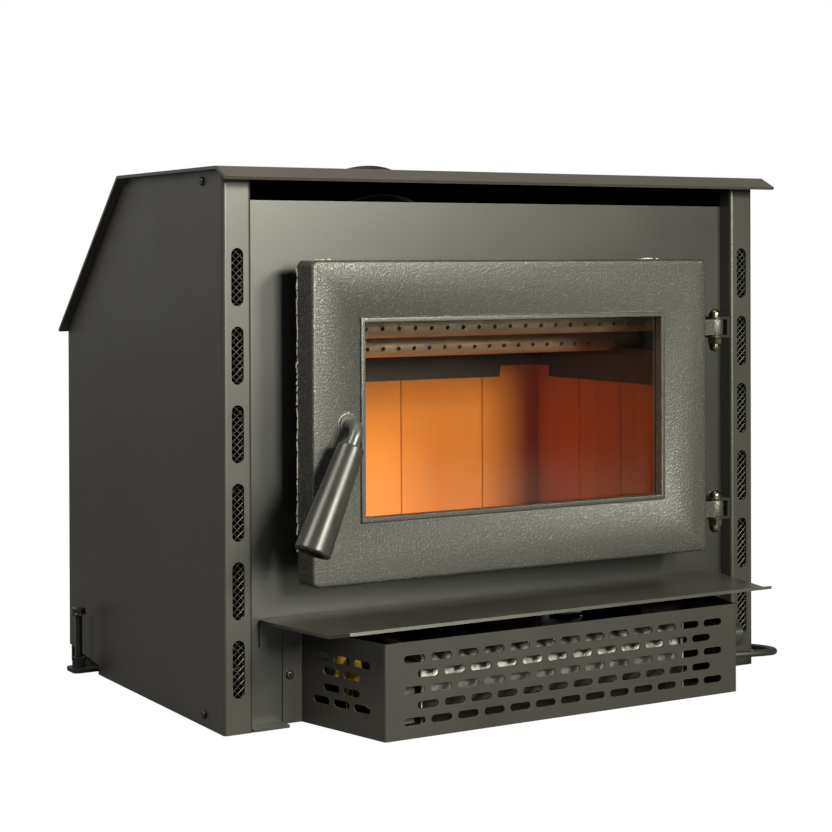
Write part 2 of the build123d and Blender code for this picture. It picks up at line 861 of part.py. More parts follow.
def ash_shelf():
    """Tapered shelf in front of the door, with a raised front lip and a rear fixing flange."""
    y_bend = front_y - shelf_reach
    y_tip = y_bend - shelf_lip_reach
    bottom = shelf_top - shelf_sheet
    section = bent_strip(
        [
            (plate_front - 0.0, shelf_top - shelf_flange),
            (plate_front - 0.0, shelf_top),
            (y_bend, shelf_top),
            (y_tip, shelf_top + shelf_lip_rise),
        ],
        shelf_sheet, 2.0, 1,
    )
    sheet = extrude(Plane.YZ * section, shelf_back_half, both=True)
    taper = (shelf_back_half - shelf_front_half) / (front_y - y_bend)
    back_half = shelf_back_half
    outline = [
        (back_half, plate_front + 1),
        (back_half, front_y),
        (back_half - taper * (front_y - y_bend), y_bend),
        (shelf_lip_half, y_tip - 1),
        (-shelf_lip_half, y_tip - 1),
        (-back_half + taper * (front_y - y_bend), y_bend),
        (-back_half, front_y),
        (-back_half, plate_front + 1),
    ]
    column = extrude(make_face(Polyline(*outline, close=True)), 200)
    shelf = sheet & column
    opening = box_back_width / 2 + box_flange + 1
    low = bottom - shelf_flange
    shelf -= block(box_shift - opening, box_shift + opening, plate_front - 9, plate_front + 1,
                   low, box_height + 0.5)
    rod_level = shelf_top - shelf_sheet - air_rod_radius - 1.5
    gap = air_rod_radius + 1
    return shelf - block(air_rod_x - gap, air_rod_x + gap, plate_front - 9, plate_front + 1,
                         low, rod_level + gap)


def air_slide():
    """Sliding plate of the primary air inlet with the tab that its rod pulls."""
    top = firebox_floor_level - air_guide_gap
    x = air_rod_x - air_rod_off_slide
    y0 = plate_back + air_plate_start
    plate = block(x - air_plate_width / 2, x + air_plate_width / 2, y0, y0 + air_plate_length,
                  top - air_plate_sheet, top)
    middle = y0 + air_tab_inset
    tab = block(air_rod_x - 5, air_rod_x + 5, middle, middle + 3, top - 14, top)
    return plate + tab


def air_control_rod():
    """Pull rod of the air slide with a rounded end."""
    level = shelf_top - shelf_sheet - air_rod_radius - 1.5
    start = (air_rod_x, front_y - air_rod_ahead, level)
    end = (air_rod_x, plate_back + air_plate_start + air_tab_inset, level)
    bar = rod(air_rod_radius, start, end)
    tip = bar.edges().filter_by(GeomType.CIRCLE).sort_by(Axis.Y)[0]
    return fillet(tip, air_rod_radius * 0.6)


def air_slide_guides():
    """Two rebated strips under the firebox floor that carry the air slide."""
    top = firebox_floor_level
    under = top - air_guide_gap - air_plate_sheet - air_guide_gap
    y0 = plate_back + 1
    y1 = plate_back + air_plate_start + air_plate_length + air_slide_travel + 3
    x = air_rod_x - air_rod_off_slide - air_plate_width / 2 - air_guide_gap
    left = block(x - 6, x, y0, y1, under, top) + block(x - 6, x + 4, y0, y1, under - 2, under)
    x = air_rod_x - air_rod_off_slide + air_plate_width / 2 + air_guide_gap
    right = block(x, x + 6, y0, y1, under, top) + block(x - 4, x + 6, y0, y1, under - 2, under)
    return left, right


def hinge_bracket(level):
    """Steel bracket on the face plate: two arms over and under the door's ear, and their spine."""
    top, bottom = level + hinge_block_height / 2, level - hinge_block_height / 2
    spine_x = hinge_x + ear_radius + 0.8
    front = hinge_y - ear_radius
    bracket = block(spine_x, spine_x + 3, front, plate_front, bottom, top)
    for low in (bottom, top - hinge_arm):
        arm = block(hinge_x, spine_x + 1, front, plate_front, low, low + hinge_arm)
        arm += rod(ear_radius, (hinge_x, hinge_y, low), (hinge_x, hinge_y, low + hinge_arm))
        bracket += arm
    hole = hinge_bolt_radius + hinge_running_gap
    return bracket - rod(hole, (hinge_x, hinge_y, bottom - 1), (hinge_x, hinge_y, top + 1))


def hinge_bolt(level):
    """Round-headed hinge bolt."""
    top, bottom = level + hinge_block_height / 2, level - hinge_block_height / 2
    bolt = rod(hinge_bolt_radius, (hinge_x, hinge_y, bottom - 9), (hinge_x, hinge_y, top + 1))
    head = rod(bolt_head_radius, (hinge_x, hinge_y, top), (hinge_x, hinge_y, top + bolt_head_height))
    rim = head.edges().filter_by(GeomType.CIRCLE).sort_by(Axis.Z)[-1]
    return bolt + fillet(rim, bolt_head_radius * 0.82)


def cap_nut(level):
    """Domed nut under the bracket."""
    top = level - hinge_block_height / 2
    skirt = cap_nut_height * 0.45
    body = extrude(RegularPolygon(cap_nut_flats / 2, 6, major_radius=False), -skirt)
    dome_radius = cap_nut_flats / 2 * 0.93
    dome = rod(dome_radius, (0, 0, -skirt + 1), (0, 0, -cap_nut_height))
    rim = dome.edges().filter_by(GeomType.CIRCLE).sort_by(Axis.Z)[0]
    body += fillet(rim, dome_radius * 0.85)
    body -= rod(hinge_bolt_radius + 0.05, (0, 0, 1), (0, 0, -9.4))
    return Pos(hinge_x, hinge_y, top) * body


def door_rectangle(left, right, bottom, top):
    """Edges of a rectangle inside the door, given how far it is set in from each side."""
    return door_left + left, door_right - right, door_bottom + bottom, door_top - top


def dish_step(share):
    """Set-in of the dished face at a share of its width, and its depth there."""
    insets = [door_flat + share * (width - door_flat)
              for width in (frame_left, frame_right, frame_bottom, frame_top)]
    depth = door_dish * (1 - math.cos(share * math.pi / 2))
    return insets, door_front + depth


def window(extra=0.0):
    """Rectangle of the window opening, grown outwards by extra."""
    grow = rim_width - extra
    return door_rectangle(frame_left + grow, frame_right + grow, frame_bottom + grow, frame_top + grow)


def clip_places():
    """Centres of the glass clips: x, edge of the glass pocket and which way is outwards."""
    x0, x1, z0, z1 = window(glass_overlap)
    return [(x, z, sign) for x in (x0 + clip_inset, x1 - clip_inset) for z, sign in ((z0, -1), (z1, 1))]


def door_frame():
    """Cast door: flat border, dished face, raised glass rim, rope channel and hinge ears."""
    x0, x1, z0, z1 = door_rectangle(0, 0, 0, 0)
    back = front_rectangle(x0, x1, z0, z1, door_back, door_corner)
    d = door_draft
    face = front_rectangle(x0 + d, x1 - d, z0 + d, z1 - d, door_front, door_corner)
    frame = loft([back, face], ruled=True)
    rim_edges = frame.faces().sort_by(Axis.Y)[0].edges()
    frame = fillet(rim_edges, door_edge_round)
    sections = []
    for index in range(door_dish_steps + 1):
        insets, y = dish_step(index / door_dish_steps)
        left, right, bottom, top = insets
        sections.append(front_rectangle(*door_rectangle(left, right, bottom, top), y))
    first = dish_step(0)[0]
    over = front_rectangle(*door_rectangle(*first), door_front - 1)
    dish = loft([over, sections[0]], ruled=True)
    for outer, inner in zip(sections, sections[1:]):
        dish += loft([outer, inner], ruled=True)
    end_insets, end_y = dish_step(1)
    rim = front_plate_of(*door_rectangle(*end_insets), end_y - rim_height, end_y + 1, rim_corner)
    rim_front = rim.faces().sort_by(Axis.Y)[0].edges()
    rim = fillet(rim_front, rim_height * 0.6)
    frame = frame - dish + rim
    frame -= front_plate_of(*window(), door_front - 1, door_back + 1, rim_corner * 0.6)
    seat_y = front_y - glass_seat_ahead
    frame -= front_plate_of(*window(glass_overlap), seat_y, door_back + 1, 3.0)
    frame -= rope_channel()
    clip_y = seat_y + glass_thickness + 2 * gasket_thickness
    for x, z, sign in clip_places():
        low, high = sorted((z - sign * 2, z + sign * (clip_width - gasket_cover + 1)))
        half = clip_length / 2 + 1
        frame -= block(x - half, x + half, clip_y, door_back + 1, low, high)
        place = z + sign * (clip_width - gasket_cover) / 2
        frame -= rod(clip_screw_radius + 0.05, (x, clip_y - 8, place), (x, clip_y + 1, place))
    frame += rod(washer_radius + 2, (handle_x, door_front, handle_height),
                 (handle_x, door_front + door_dish, handle_height))
    frame -= rod(
        shaft_radius + shaft_running_gap,
        (handle_x, door_front - 5, handle_height),
        (handle_x, door_back + 5, handle_height),
    )
    for level in hinge_levels:
        frame += door_ear(level)
    return frame


def rope_channel():
    """Groove in the back of the door for the rope."""
    outer, inner = rope_inset - rope_radius - 0.3, rope_inset + rope_radius + 0.3
    bottom = door_back - rope_channel_depth
    ring = front_plate_of(*door_rectangle(outer, outer, outer, outer), bottom, door_back + 1, 9.0)
    island = front_plate_of(*door_rectangle(inner, inner, inner, inner), bottom, door_back + 1, 3.0)
    return ring - island


def door_ear(level):
    """Hinge ear on the door's edge."""
    half = hinge_block_height / 2 - hinge_arm - hinge_side_gap
    low, high = level - half, level + half
    ear = block(door_right - 3, hinge_x, hinge_y - ear_half_depth, hinge_y + ear_half_depth, low, high)
    ear += rod(ear_radius, (hinge_x, hinge_y, low), (hinge_x, hinge_y, high))
    hole = hinge_bolt_radius + hinge_running_gap
    return ear - rod(hole, (hinge_x, hinge_y, low - 1), (hinge_x, hinge_y, high + 1))


def door_rope():
    """Woven rope in the door's channel."""
    x0, x1, z0, z1 = door_rectangle(rope_inset, rope_inset, rope_inset, rope_inset)
    route = facing((x0 + x1) / 2, rope_y, (z0 + z1) / 2) * RectangleRounded(x1 - x0, z1 - z0, 8.0)
    path = route.face().outer_wire()
    start = path.edges().sort_by(Axis.Z)[0]
    section = Plane(origin=start @ 0.5, z_dir=start % 0.5) * Circle(rope_radius)
    return sweep(section, path=path)


def door_glass():
    """Ceramic glass pane."""
    gap = gasket_thickness + 0.2
    y0 = front_y - glass_seat_ahead + gasket_thickness
    return front_plate_of(*window(glass_overlap - gap), y0, y0 + glass_thickness, 2.0)


def glass_gasket():
    """Tape folded round the edge of the glass."""
    y0 = front_y - glass_seat_ahead
    y1 = y0 + glass_thickness + 2 * gasket_thickness
    tape = front_plate_of(*window(glass_overlap - 0.2), y0, y1, 2.8)
    tape -= front_plate_of(*window(glass_overlap - 0.2 - gasket_cover), y0 - 1, y1 + 1, 2.0)
    gap = gasket_thickness + 0.2
    groove = front_plate_of(
        *window(glass_overlap - gap), y0 + gasket_thickness, y1 - gasket_thickness, 2.0
    )
    return tape - groove


def glass_clips():
    """Flat clips that hold the glass, with their screws."""
    y0 = front_y - glass_seat_ahead + glass_thickness + 2 * gasket_thickness
    solids = []
    for x, z, sign in clip_places():
        inner = z - sign * (gasket_cover - 1)
        outer = z + sign * (clip_width - gasket_cover)
        low, high = sorted((inner, outer))
        place = z + sign * (clip_width - gasket_cover) / 2
        half = clip_length / 2
        clip = block(x - half, x + half, y0, y0 + clip_sheet, low, high)
        clip -= rod(clip_screw_radius + 0.05, (x, y0 - 1, place), (x, y0 + 9, place))
        head_y = y0 + clip_sheet
        bolt = rod(clip_screw_radius, (x, y0 - 7, place), (x, head_y + 1, place))
        bolt += rod(clip_screw_radius * 1.9, (x, head_y, place), (x, head_y + 3, place))
        solids += [clip, bolt]
    return solids


def handle_points():
    """Corner of the handle's rod, the direction of the grip and where the grip starts."""
    corner = Vector(handle_x, door_front - shaft_ahead, handle_height)
    lean, outward = math.radians(grip_lean), math.radians(grip_outward)
    direction = Vector(
        -math.sin(lean) * math.cos(outward), -math.sin(outward), -math.cos(lean) * math.cos(outward)
    )
    return corner, direction, corner + direction * grip_from_elbow


def handle_shaft():
    """Bent steel rod through the door, threaded at its inner end."""
    corner, direction, top = handle_points()
    shoulder = Vector(handle_x, plate_back + cam_gap, handle_height)
    end = top + direction * (grip_length - grip_recess_depth)
    path = FilletPolyline(shoulder, corner, end, radius=shaft_elbow)
    section = Plane(origin=shoulder, z_dir=corner - shoulder) * Circle(shaft_radius)
    shaft = sweep(section, path=path)
    tail = shoulder + Vector(0, cam_thickness + latch_nut_height + 3, 0)
    shaft += rod(shaft_thread_radius, shoulder - Vector(0, 1, 0), tail)
    return shaft - rod(grip_screw_radius + 0.05, end - direction * 16, end + direction)


def handle_grip():
    """Turned tapered grip, recessed at its end for the screw."""
    direction, top = handle_points()[1:]
    end = top + direction * grip_length
    grip = cone(grip_top_radius, grip_end_radius, top, end)
    rings = grip.edges().filter_by(GeomType.CIRCLE)
    grip = fillet(rings, 1.8)
    grip -= rod(shaft_radius + 0.1, top - direction, end + direction)
    grip -= rod(grip_recess_radius, end - direction * grip_recess_depth, end + direction)
    return grip


def grip_screw():
    """Screw and wide washer in the end of the grip."""
    direction, top = handle_points()[1:]
    seat = top + direction * (grip_length - grip_recess_depth)
    washer = rod(grip_recess_radius - 1.5, seat, seat + direction * 1.5)
    head = rod(grip_screw_radius * 1.8, seat + direction, seat + direction * 4.5)
    return washer + head + rod(grip_screw_radius, seat - direction * 14, seat + direction)


def handle_collars():
    """Washer in front of the door and set collar behind it, both round the shaft."""
    hole = shaft_radius + 0.05
    x, z = handle_x, handle_height
    surface = dish_step(0.75)[1]
    washer = rod(washer_radius, (x, door_front - washer_thickness - 0.3, z), (x, door_front - 0.3, z))
    washer -= rod(hole, (x, door_front - 9, z), (x, surface, z))
    back = door_back + 0.3
    collar = rod(washer_radius, (x, back, z), (x, back + 7, z))
    collar -= rod(hole, (x, back - 1, z), (x, back + 9, z))
    return washer, collar


def latch_cam():
    """Cam at the shaft's inner end, which turns behind the edge of the face plate."""
    y0 = plate_back + cam_gap
    x, z = handle_x, handle_height
    half = cam_width / 2
    cam = rod(half, (x, y0, z), (x, y0 + cam_thickness, z))
    cam += block(x - half, x + half, y0, y0 + cam_thickness, z, z + cam_length - half)
    tip = z + cam_length - half
    cam += rod(half, (x, y0, tip), (x, y0 + cam_thickness, tip))
    return cam - rod(shaft_thread_radius + 0.05, (x, y0 - 1, z), (x, y0 + 9, z))


def latch_nut():
    """Nut that clamps the cam to the shaft."""
    start = (handle_x, plate_back + cam_gap + cam_thickness, handle_height)
    return nut(cam_width, latch_nut_height, start, (0, 1, 0), shaft_thread_radius + 0.05)


def row_of_slots(columns, pitch, level):
    """Slots of one row on a flat drawing, centred on its origin."""
    places = [(index - (columns - 1) / 2) * pitch for index in range(columns)]
    return [Pos(x, level) * SlotOverall(box_slot_length, box_slot_width) for x in places]


def box_section():
    """Section of the blower box seen from above: flanges, tapering sides and front."""
    front = front_y - box_front_ahead
    back = plate_front
    half_front, half_back = box_front_width / 2, box_back_width / 2
    return bent_strip(
        [
            (box_shift - half_back - box_flange, back - box_sheet),
            (box_shift - half_back, back - box_sheet),
            (box_shift - half_front, front),
            (box_shift + half_front, front),
            (box_shift + half_back, back - box_sheet),
            (box_shift + half_back + box_flange, back - box_sheet),
        ],
        box_sheet, box_bend, 1,
    )


def blower_box():
    """Slotted sheet box that stands round the blower."""
    box = extrude(box_section(), box_height)
    front = front_y - box_front_ahead
    slots = []
    for row in range(-2, 3):
        columns = box_slot_columns if row % 2 == 0 else box_slot_columns - 1
        slots += row_of_slots(columns, box_slot_pitch, row * box_row_pitch)
    plane = facing(box_shift, front + box_sheet + 1, box_middle_row)
    box -= [extrude(plane * slot, box_sheet + 2) for slot in slots]
    along, out = box_side_directions()
    drawing = []
    for level, columns in ((side_row_outer, 3), (side_row_inner, 2), (-side_row_inner, 2),
                           (-side_row_outer, 3)):
        drawing += row_of_slots(columns, side_slot_pitch, level)
    middle = box_side(side_slot_back, 1.0, side_slot_middle)
    wall = Plane(origin=middle, x_dir=along, z_dir=out)
    cutter = [extrude(wall * slot, -(box_sheet + 2)) for slot in drawing]
    centre = Plane(origin=(box_shift, 0, 0), z_dir=(1, 0, 0))
    box -= [mirror(piece, about=centre) for piece in cutter]
    stem = box_side(knob_along, 0.0, knob_level)
    box -= rod(control_stem_radius + 0.4, stem - out * 3, stem + out * 3)
    exit_point = box_side(relief_along, 0.0, relief_level)
    box -= rod(cord_radius + 2.1, exit_point - out * 3, exit_point + out * 3)
    for sign in (-1, 1):
        x = box_shift + sign * flange_screw_x
        box -= screw_hole((x, plate_front, flange_screw_level), (0, -1, 0))
    return box


def blower_tray():
    """Floor of the blower box, which carries the blower."""
    y0 = front_y - box_front_ahead + box_sheet + tray_gap
    y1 = plate_front - box_sheet - 2
    inset = box_sheet + tray_gap + 0.6
    share = (y1 - y0) / (plate_front - box_sheet - (front_y - box_front_ahead))
    half0 = box_front_width / 2 - inset
    half1 = half0 + (box_back_width - box_front_width) / 2 * share
    outline = [(-half0, y0), (half0, y0), (half1, y1), (-half1, y1)]
    face = make_face(Polyline(*outline, close=True))
    return Pos(box_shift, 0, 0) * extrude(face, tray_sheet)


def blower_axis(x):
    """Point on the blower's axis."""
    return Vector(x, front_y - blower_axis_ahead, blower_axis_height)


def scroll_housing():
    """Curved sheet round the blower wheel, open at the rear towards the air passage."""
    centre = blower_axis(0)
    outer = Circle(scroll_radius) - Circle(scroll_radius - scroll_sheet)
    mouth = Pos(scroll_radius, (mouth_top + mouth_bottom) / 2) * Rectangle(
        2 * scroll_radius, mouth_top - mouth_bottom
    )
    section = outer - mouth
    for level in (mouth_top, mouth_bottom):
        start = math.sqrt((scroll_radius - scroll_sheet / 2) ** 2 - level**2)
        guide = Rectangle(mouth_length, scroll_sheet, align=(Align.MIN, Align.CENTER))
        section += Pos(start, level) * guide
    plane = Plane(origin=(-blower_half, centre.Y, centre.Z), x_dir=(0, 1, 0), z_dir=(1, 0, 0))
    return extrude(plane * section, 2 * blower_half)


def blower_wheel():
    """Long wheel with blades between end and middle discs."""
    half = blower_half - 3
    centre = blower_axis(0)
    plane = Plane(origin=(-half, centre.Y, centre.Z), x_dir=(0, 1, 0), z_dir=(1, 0, 0))
    middle = wheel_radius - wheel_blade_depth / 2
    blade = Pos(middle, 0) * Rot(0, 0, 28) * Rectangle(wheel_blade_depth, wheel_blade_sheet)
    blades = [Rot(0, 0, 360 / wheel_blades * index) * blade for index in range(wheel_blades)]
    solids = [extrude(plane * section, 2 * half) for section in blades]
    disc = Circle(wheel_radius) - Circle(blower_shaft_radius + 0.02)
    places = [index * half / 2 - 0.75 + (1 - index / 2) * 0.75 for index in range(5)]
    for place in places:
        solids.append(extrude(plane.offset(place) * disc, 1.5))
    return solids[0] + solids[1:]


def blower_shaft():
    """Shaft of the wheel, which runs in both end plates and through the motor."""
    start = blower_axis(-blower_half - motor_gap - stack_length - 12)
    return rod(blower_shaft_radius, start, blower_axis(blower_half + 9))


def motor_rotor():
    """Cage rotor on the shaft inside the stack."""
    start = -blower_half - motor_gap - stack_length
    drum = rod(stack_bore - rotor_air_gap, blower_axis(start), blower_axis(start + stack_length))
    return drum - rod(blower_shaft_radius + 0.02, blower_axis(start - 1), blower_axis(-blower_half))


def blower_end_plates():
    """Upright plates at both ends of the blower, each with its bearing boss."""
    plates = []
    centre = blower_axis(0)
    for sign in (-1, 1):
        inner = sign * (blower_half + 0.3)
        x0, x1 = sorted((inner, inner + sign * end_plate_sheet))
        y0, y1 = centre.Y - end_plate_half, centre.Y + end_plate_half
        plate = block(x0, x1, y0, y1, tray_sheet, centre.Z + scroll_radius + 3)
        foot = sorted((inner, inner + sign * 12))
        plate += block(foot[0], foot[1], y0, y1, tray_sheet, tray_sheet + end_plate_sheet)
        boss = sorted((inner, inner + sign * 5))
        plate += rod(8.0, (boss[0], centre.Y, centre.Z), (boss[1], centre.Y, centre.Z))
        hole = blower_shaft_radius + bearing_gap
        plate -= rod(hole, (boss[0] - 9, centre.Y, centre.Z), (boss[1] + 9, centre.Y, centre.Z))
        plates.append(plate)
    return plates


def motor_stack():
    """Laminated stack of the motor, with two posts to the end plate."""
    centre = blower_axis(-blower_half - motor_gap - stack_length)
    x0, x1 = centre.X, centre.X + stack_length
    half = stack_width / 2
    top = centre.Z + 20
    stack = block(x0, x1, centre.Y - half, centre.Y + half, top - stack_height, top)
    stack -= rod(stack_bore, (x0 - 1, centre.Y, centre.Z), (x1 + 1, centre.Y, centre.Z))
    post_end = -blower_half - end_plate_sheet - 0.3
    for side in (-22, 22):
        start = (x1 - 1, centre.Y + side, centre.Z + 14)
        stack += rod(2.5, start, (post_end, centre.Y + side, centre.Z + 14))
    window_low, window_high = top - stack_height + 10, centre.Z - stack_bore - 4
    for side in (-17, 17):
        stack -= block(x0 - 1, x1 + 1, centre.Y + side - 4, centre.Y + side + 4,
                       window_low, window_high)
    return stack


def motor_coil():
    """Winding round the lower limb of the stack."""
    centre = blower_axis(-blower_half - motor_gap - stack_length / 2)
    low = centre.Z + 20 - stack_height + 10.3
    high = centre.Z - stack_bore - 4.3
    x0, x1 = centre.X - stack_length / 2, centre.X + stack_length / 2
    coil = block(x0 - 7, x1 + 4, centre.Y - 20, centre.Y + 20, low, high)
    coil -= block(x0 - 0.3, x1 + 0.3, centre.Y - 13.2, centre.Y + 13.2, low - 1, high + 1)
    coil -= block(x0 - 0.3, x1 + 0.3, centre.Y - 30, centre.Y - 20.8, low - 1, high + 1)
    return coil


def wire_nuts():
    """Two twist-on wire connectors on their clip beside the motor."""
    solids = []
    for index in range(2):
        y = front_y - 34 + index * 20
        base = (-box_front_width / 2 + box_shift + 4 - index * 5, y, 40)
        top = (base[0], y, 40 + wire_nut_height)
        solids.append(cone(wire_nut_radius, wire_nut_radius * 0.6, base, top))
    y = front_y - 24
    x = -box_front_width / 2 + box_shift + 2
    clip = block(x - 6, x + 10, y - 18, y + 18, 38.5, 40) + block(x, x + 2, y - 6, y + 6, tray_sheet, 39)
    return solids + [clip]


def speed_control():
    """Rheostat inside the right wall of the box."""
    along, out = box_side_directions()
    seat = box_side(knob_along, -box_sheet, knob_level)
    plane = Plane(origin=seat, x_dir=along, z_dir=-out)
    body = extrude(plane * RectangleRounded(control_length, control_length, 4), control_depth)
    body -= rod(control_stem_radius + 0.08, seat + out, seat - out * (control_depth - 4))
    return body


def speed_knob():
    """Knob on its stem outside the right wall."""
    out = box_side_directions()[1]
    base = box_side(knob_along, knob_gap, knob_level)
    knob = cone(knob_radius, knob_radius * 0.86, base, base + out * knob_height)
    rim = knob.edges().filter_by(GeomType.CIRCLE).sort_by_distance(base + out * 99)[0]
    knob = fillet(rim, 2.0)
    pointer = Plane(origin=base + out * (knob_height - 1), x_dir=(0, 0, 1), z_dir=out)
    knob += extrude(pointer * RectangleRounded(knob_radius * 1.6, 3, 1.2), 2.2)
    inner = base - out * (knob_gap + box_sheet + control_depth - 6)
    return knob + rod(control_stem_radius, inner, base + out)


def level_point(height=0.0):
    """Point on the right levelling bolt's axis."""
    return Vector(half_width + level_bolt_out, front_y + level_bolt_back, height)


def level_bracket():
    """Bar on the base that reaches out under the side panel, with its welded nut."""
    axis = level_point()
    half = level_bracket_width / 2
    x0 = half_width - level_bracket_inside
    x1 = axis.X + level_bracket_overrun
    low = base_sheet
    bar = block(x0, x1, axis.Y - half, axis.Y + half, low, low + level_bracket_sheet)
    corners = bar.edges().filter_by(Axis.Z).sort_by(Axis.X)[-2:]
    bar = fillet(corners, 6)
    bar -= rod(level_bolt_radius + level_bolt_gap, level_point(low - 1), level_point(20))
    start = level_point(low + level_bracket_sheet)
    hexagon = nut(level_nut_flats, level_nut_height, start, (0, 0, 1), level_bolt_radius + level_bolt_gap)
    return bar, hexagon


def levelling_bolt():
    """Flanged hexagon bolt that raises the rear corner."""
    head_low = level_tip_height + level_bolt_length
    bolt = rod(level_bolt_radius, level_point(level_tip_height), level_point(head_low + 1))
    tip = bolt.edges().filter_by(GeomType.CIRCLE).sort_by(Axis.Z)[0]
    bolt = chamfer(tip, 1.0)
    flange = rod(level_head_radius, level_point(head_low), level_point(head_low + 1.8))
    head = nut(level_nut_flats, level_head_height - 1.8, level_point(head_low + 1.8), (0, 0, 1), 0.1)
    return bolt + flange + head + rod(1.0, level_point(head_low), level_point(head_low + level_head_height))


def casing_screws():
    """Screws of the casing, the rear panel and the blower box."""
    solids = []
    for x, y, z in side_screws:
        solids.append(screw((x, y, z), (1, 0, 0)))
        solids.append(screw((-x, y, z), (-1, 0, 0)))
    for sign in (-1, 1):
        x = box_shift + sign * flange_screw_x
        solids.append(screw((x, plate_front - box_sheet, flange_screw_level), (0, -1, 0)))
    return solids


def relief_ends():
    """Start and end of the strain relief's axis and its direction."""
    out = box_side_directions()[1]
    start = box_side(relief_along, 0.0, relief_level)
    return start, start + out * relief_length, out


def strain_relief():
    """Tapered relief in the wall of the box."""
    start, end, out = relief_ends()
    body = rod(relief_flange_radius, start, start + out * 2.5)
    body += cone(cord_radius + 2.6, cord_radius + 1.0, start + out, end)
    body += rod(cord_radius + 2.0, start - out * (box_sheet + 4), start + out)
    body += rod(relief_flange_radius, start - out * (box_sheet + 3.5), start - out * box_sheet)
    return body


def cord_route():
    """Points of the lead's free stretch: out of the relief, round the casing and down to the floor."""
    end = relief_ends()[1]
    floor = cord_radius + 0.1
    entry = coil_centre().X - coil_outer_radius()
    out = relief_ends()[2]
    return [
        end,
        end + out * 29.5,
        Vector(314.0, -243.0, 20.5),
        Vector(327.5, -211.0, 17.0),
        Vector(329.0, -166.0, 12.0),
        Vector(331.5, -117.0, 6.2),
        Vector(entry, -68.0, floor),
        Vector(entry, coil_centre().Y - 2 * cord_radius, floor),
    ]


def coil_outer_radius():
    """Radius of the coil's outermost turn, at the middle of the lead."""
    return coil_inner_radius + coil_turns_per_layer * coil_pitch


def coil_centre():
    """Centre of the coil, beside the casing."""
    return Vector(coil_middle_x, coil_middle_y, 0.0)


def coil_point(angle):
    """Point of the coil at an angle from its start, and its direction there.

    The lead goes in clockwise on the floor, climbs one layer in a half turn at the middle and
    comes out again on top.
    """
    inward = coil_turns_per_layer * 2 * math.pi
    climb = math.pi
    total = 2 * inward + climb
    rate = coil_pitch / (2 * math.pi)
    outer = coil_outer_radius()
    if angle <= inward:
        radius, slope = outer - rate * angle, -rate
        height, rise = 0.0, 0.0
    elif angle >= inward + climb:
        radius, slope = coil_inner_radius + rate * (angle - inward - climb), rate
        height, rise = 1.0, 0.0
    else:
        turned = angle - inward
        radius = coil_inner_radius - rate * math.sin(turned)
        slope = -rate * math.cos(turned)
        height = (1 - math.cos(turned)) / 2
        rise = math.sin(turned) / 2
    direction = math.pi - angle
    layer = coil_pitch
    centre = coil_centre()
    point = Vector(
        centre.X + radius * math.cos(direction),
        centre.Y + radius * math.sin(direction),
        cord_radius + 0.1 + layer * height,
    )
    heading = Vector(
        slope * math.cos(direction) + radius * math.sin(direction),
        slope * math.sin(direction) - radius * math.cos(direction),
        layer * rise,
    )
    return point, heading.normalized(), total


def biarc(start, start_heading, end, end_heading):
    """Two tangent arcs between two points with given headings."""
    chord = end - start
    both = start_heading + end_heading
    lean = 2 * (1 - start_heading.dot(end_heading))
    along = chord.dot(both)
    reach = (-along + math.sqrt(along * along + lean * chord.dot(chord))) / lean
    joint = (start + start_heading * reach + end - end_heading * reach) * 0.5
    first = Edge.make_tangent_arc(start, start_heading, joint)
    second = Edge.make_tangent_arc(joint, first % 1, end)
    return [first, second]


def coil_path():
    """Centre line of the coil: a straight start, quarter-turn arc pairs and a straight end."""
    total = coil_point(0.0)[2]
    quarters = round(total / (math.pi / 2))
    stations = [coil_point(total * index / quarters) for index in range(quarters + 1)]
    start, heading = stations[0][0], Vector(0, 1, 0)
    straight = cord_radius * 2
    edges = [Edge.make_line(start - heading * straight, start)]
    previous = heading
    for (a, _, _), (b, following, _) in zip(stations, stations[1:]):
        pair = biarc(a, previous, b, following)
        edges += pair
        previous = pair[-1] % 1
    last = stations[-1][0]
    edges.append(Edge.make_line(last, last + previous * 34))
    return edges, last + previous * 34, previous


def least_self_gap(edges):
    """Least clear distance between different turns of the coil, measured on points."""
    points, lengths, travelled = [], [], 0.0
    for edge in edges:
        steps = max(2, int(edge.length / 2.5))
        for index in range(steps):
            point = edge @ (index / steps)
            points.append((point.X, point.Y, point.Z))
            lengths.append(travelled + edge.length * index / steps)
        travelled += edge.length
    least = 1e9
    for first in range(len(points)):
        for second in range(first + 1, len(points)):
            if lengths[second] - lengths[first] > 8 * cord_radius:
                least = min(least, math.dist(points[first], points[second]))
    return least - 2 * cord_radius, travelled


def tube_along(edges, radius):
    """Round tube along joined edges."""
    path = Wire(edges)
    section = Plane(origin=path @ 0, z_dir=path % 0) * Circle(radius)
    return sweep(section, path=path)


def power_cord():
    """Free stretch of the lead, as straight runs joined by tangent arcs."""
    points = cord_route()
    radii = []
    for before, here, after in zip(points, points[1:], points[2:]):
        turn = math.radians((here - before).get_angle(after - here))
        shorter = min((here - before).length, (after - here).length)
        radii.append(0.45 * shorter / math.tan(turn / 2))
    print("cord bend radii", [round(radius, 1) for radius in radii])
    path = FilletPolyline(*points, radius=radii)
    section = Plane(origin=points[0], z_dir=points[1] - points[0]) * Circle(cord_radius)
    cord = sweep(section, path=path)
    expected = path.length * math.pi * cord_radius**2
    print("cord stretch", round(path.length, 1), "volume share", round(cord.volume / expected, 4))
    return cord


def cord_coil():
    """Put-away length of the lead, in turns that spiral in and out again."""
    edges = coil_path()[0]
    gap, length = least_self_gap(edges)
    print("coil length", round(length, 1), "least gap to itself", round(gap, 2))
    coil = tube_along(edges, cord_radius)
    expected = length * math.pi * cord_radius**2
    print("coil volume share", round(coil.volume / expected, 4))
    return coil


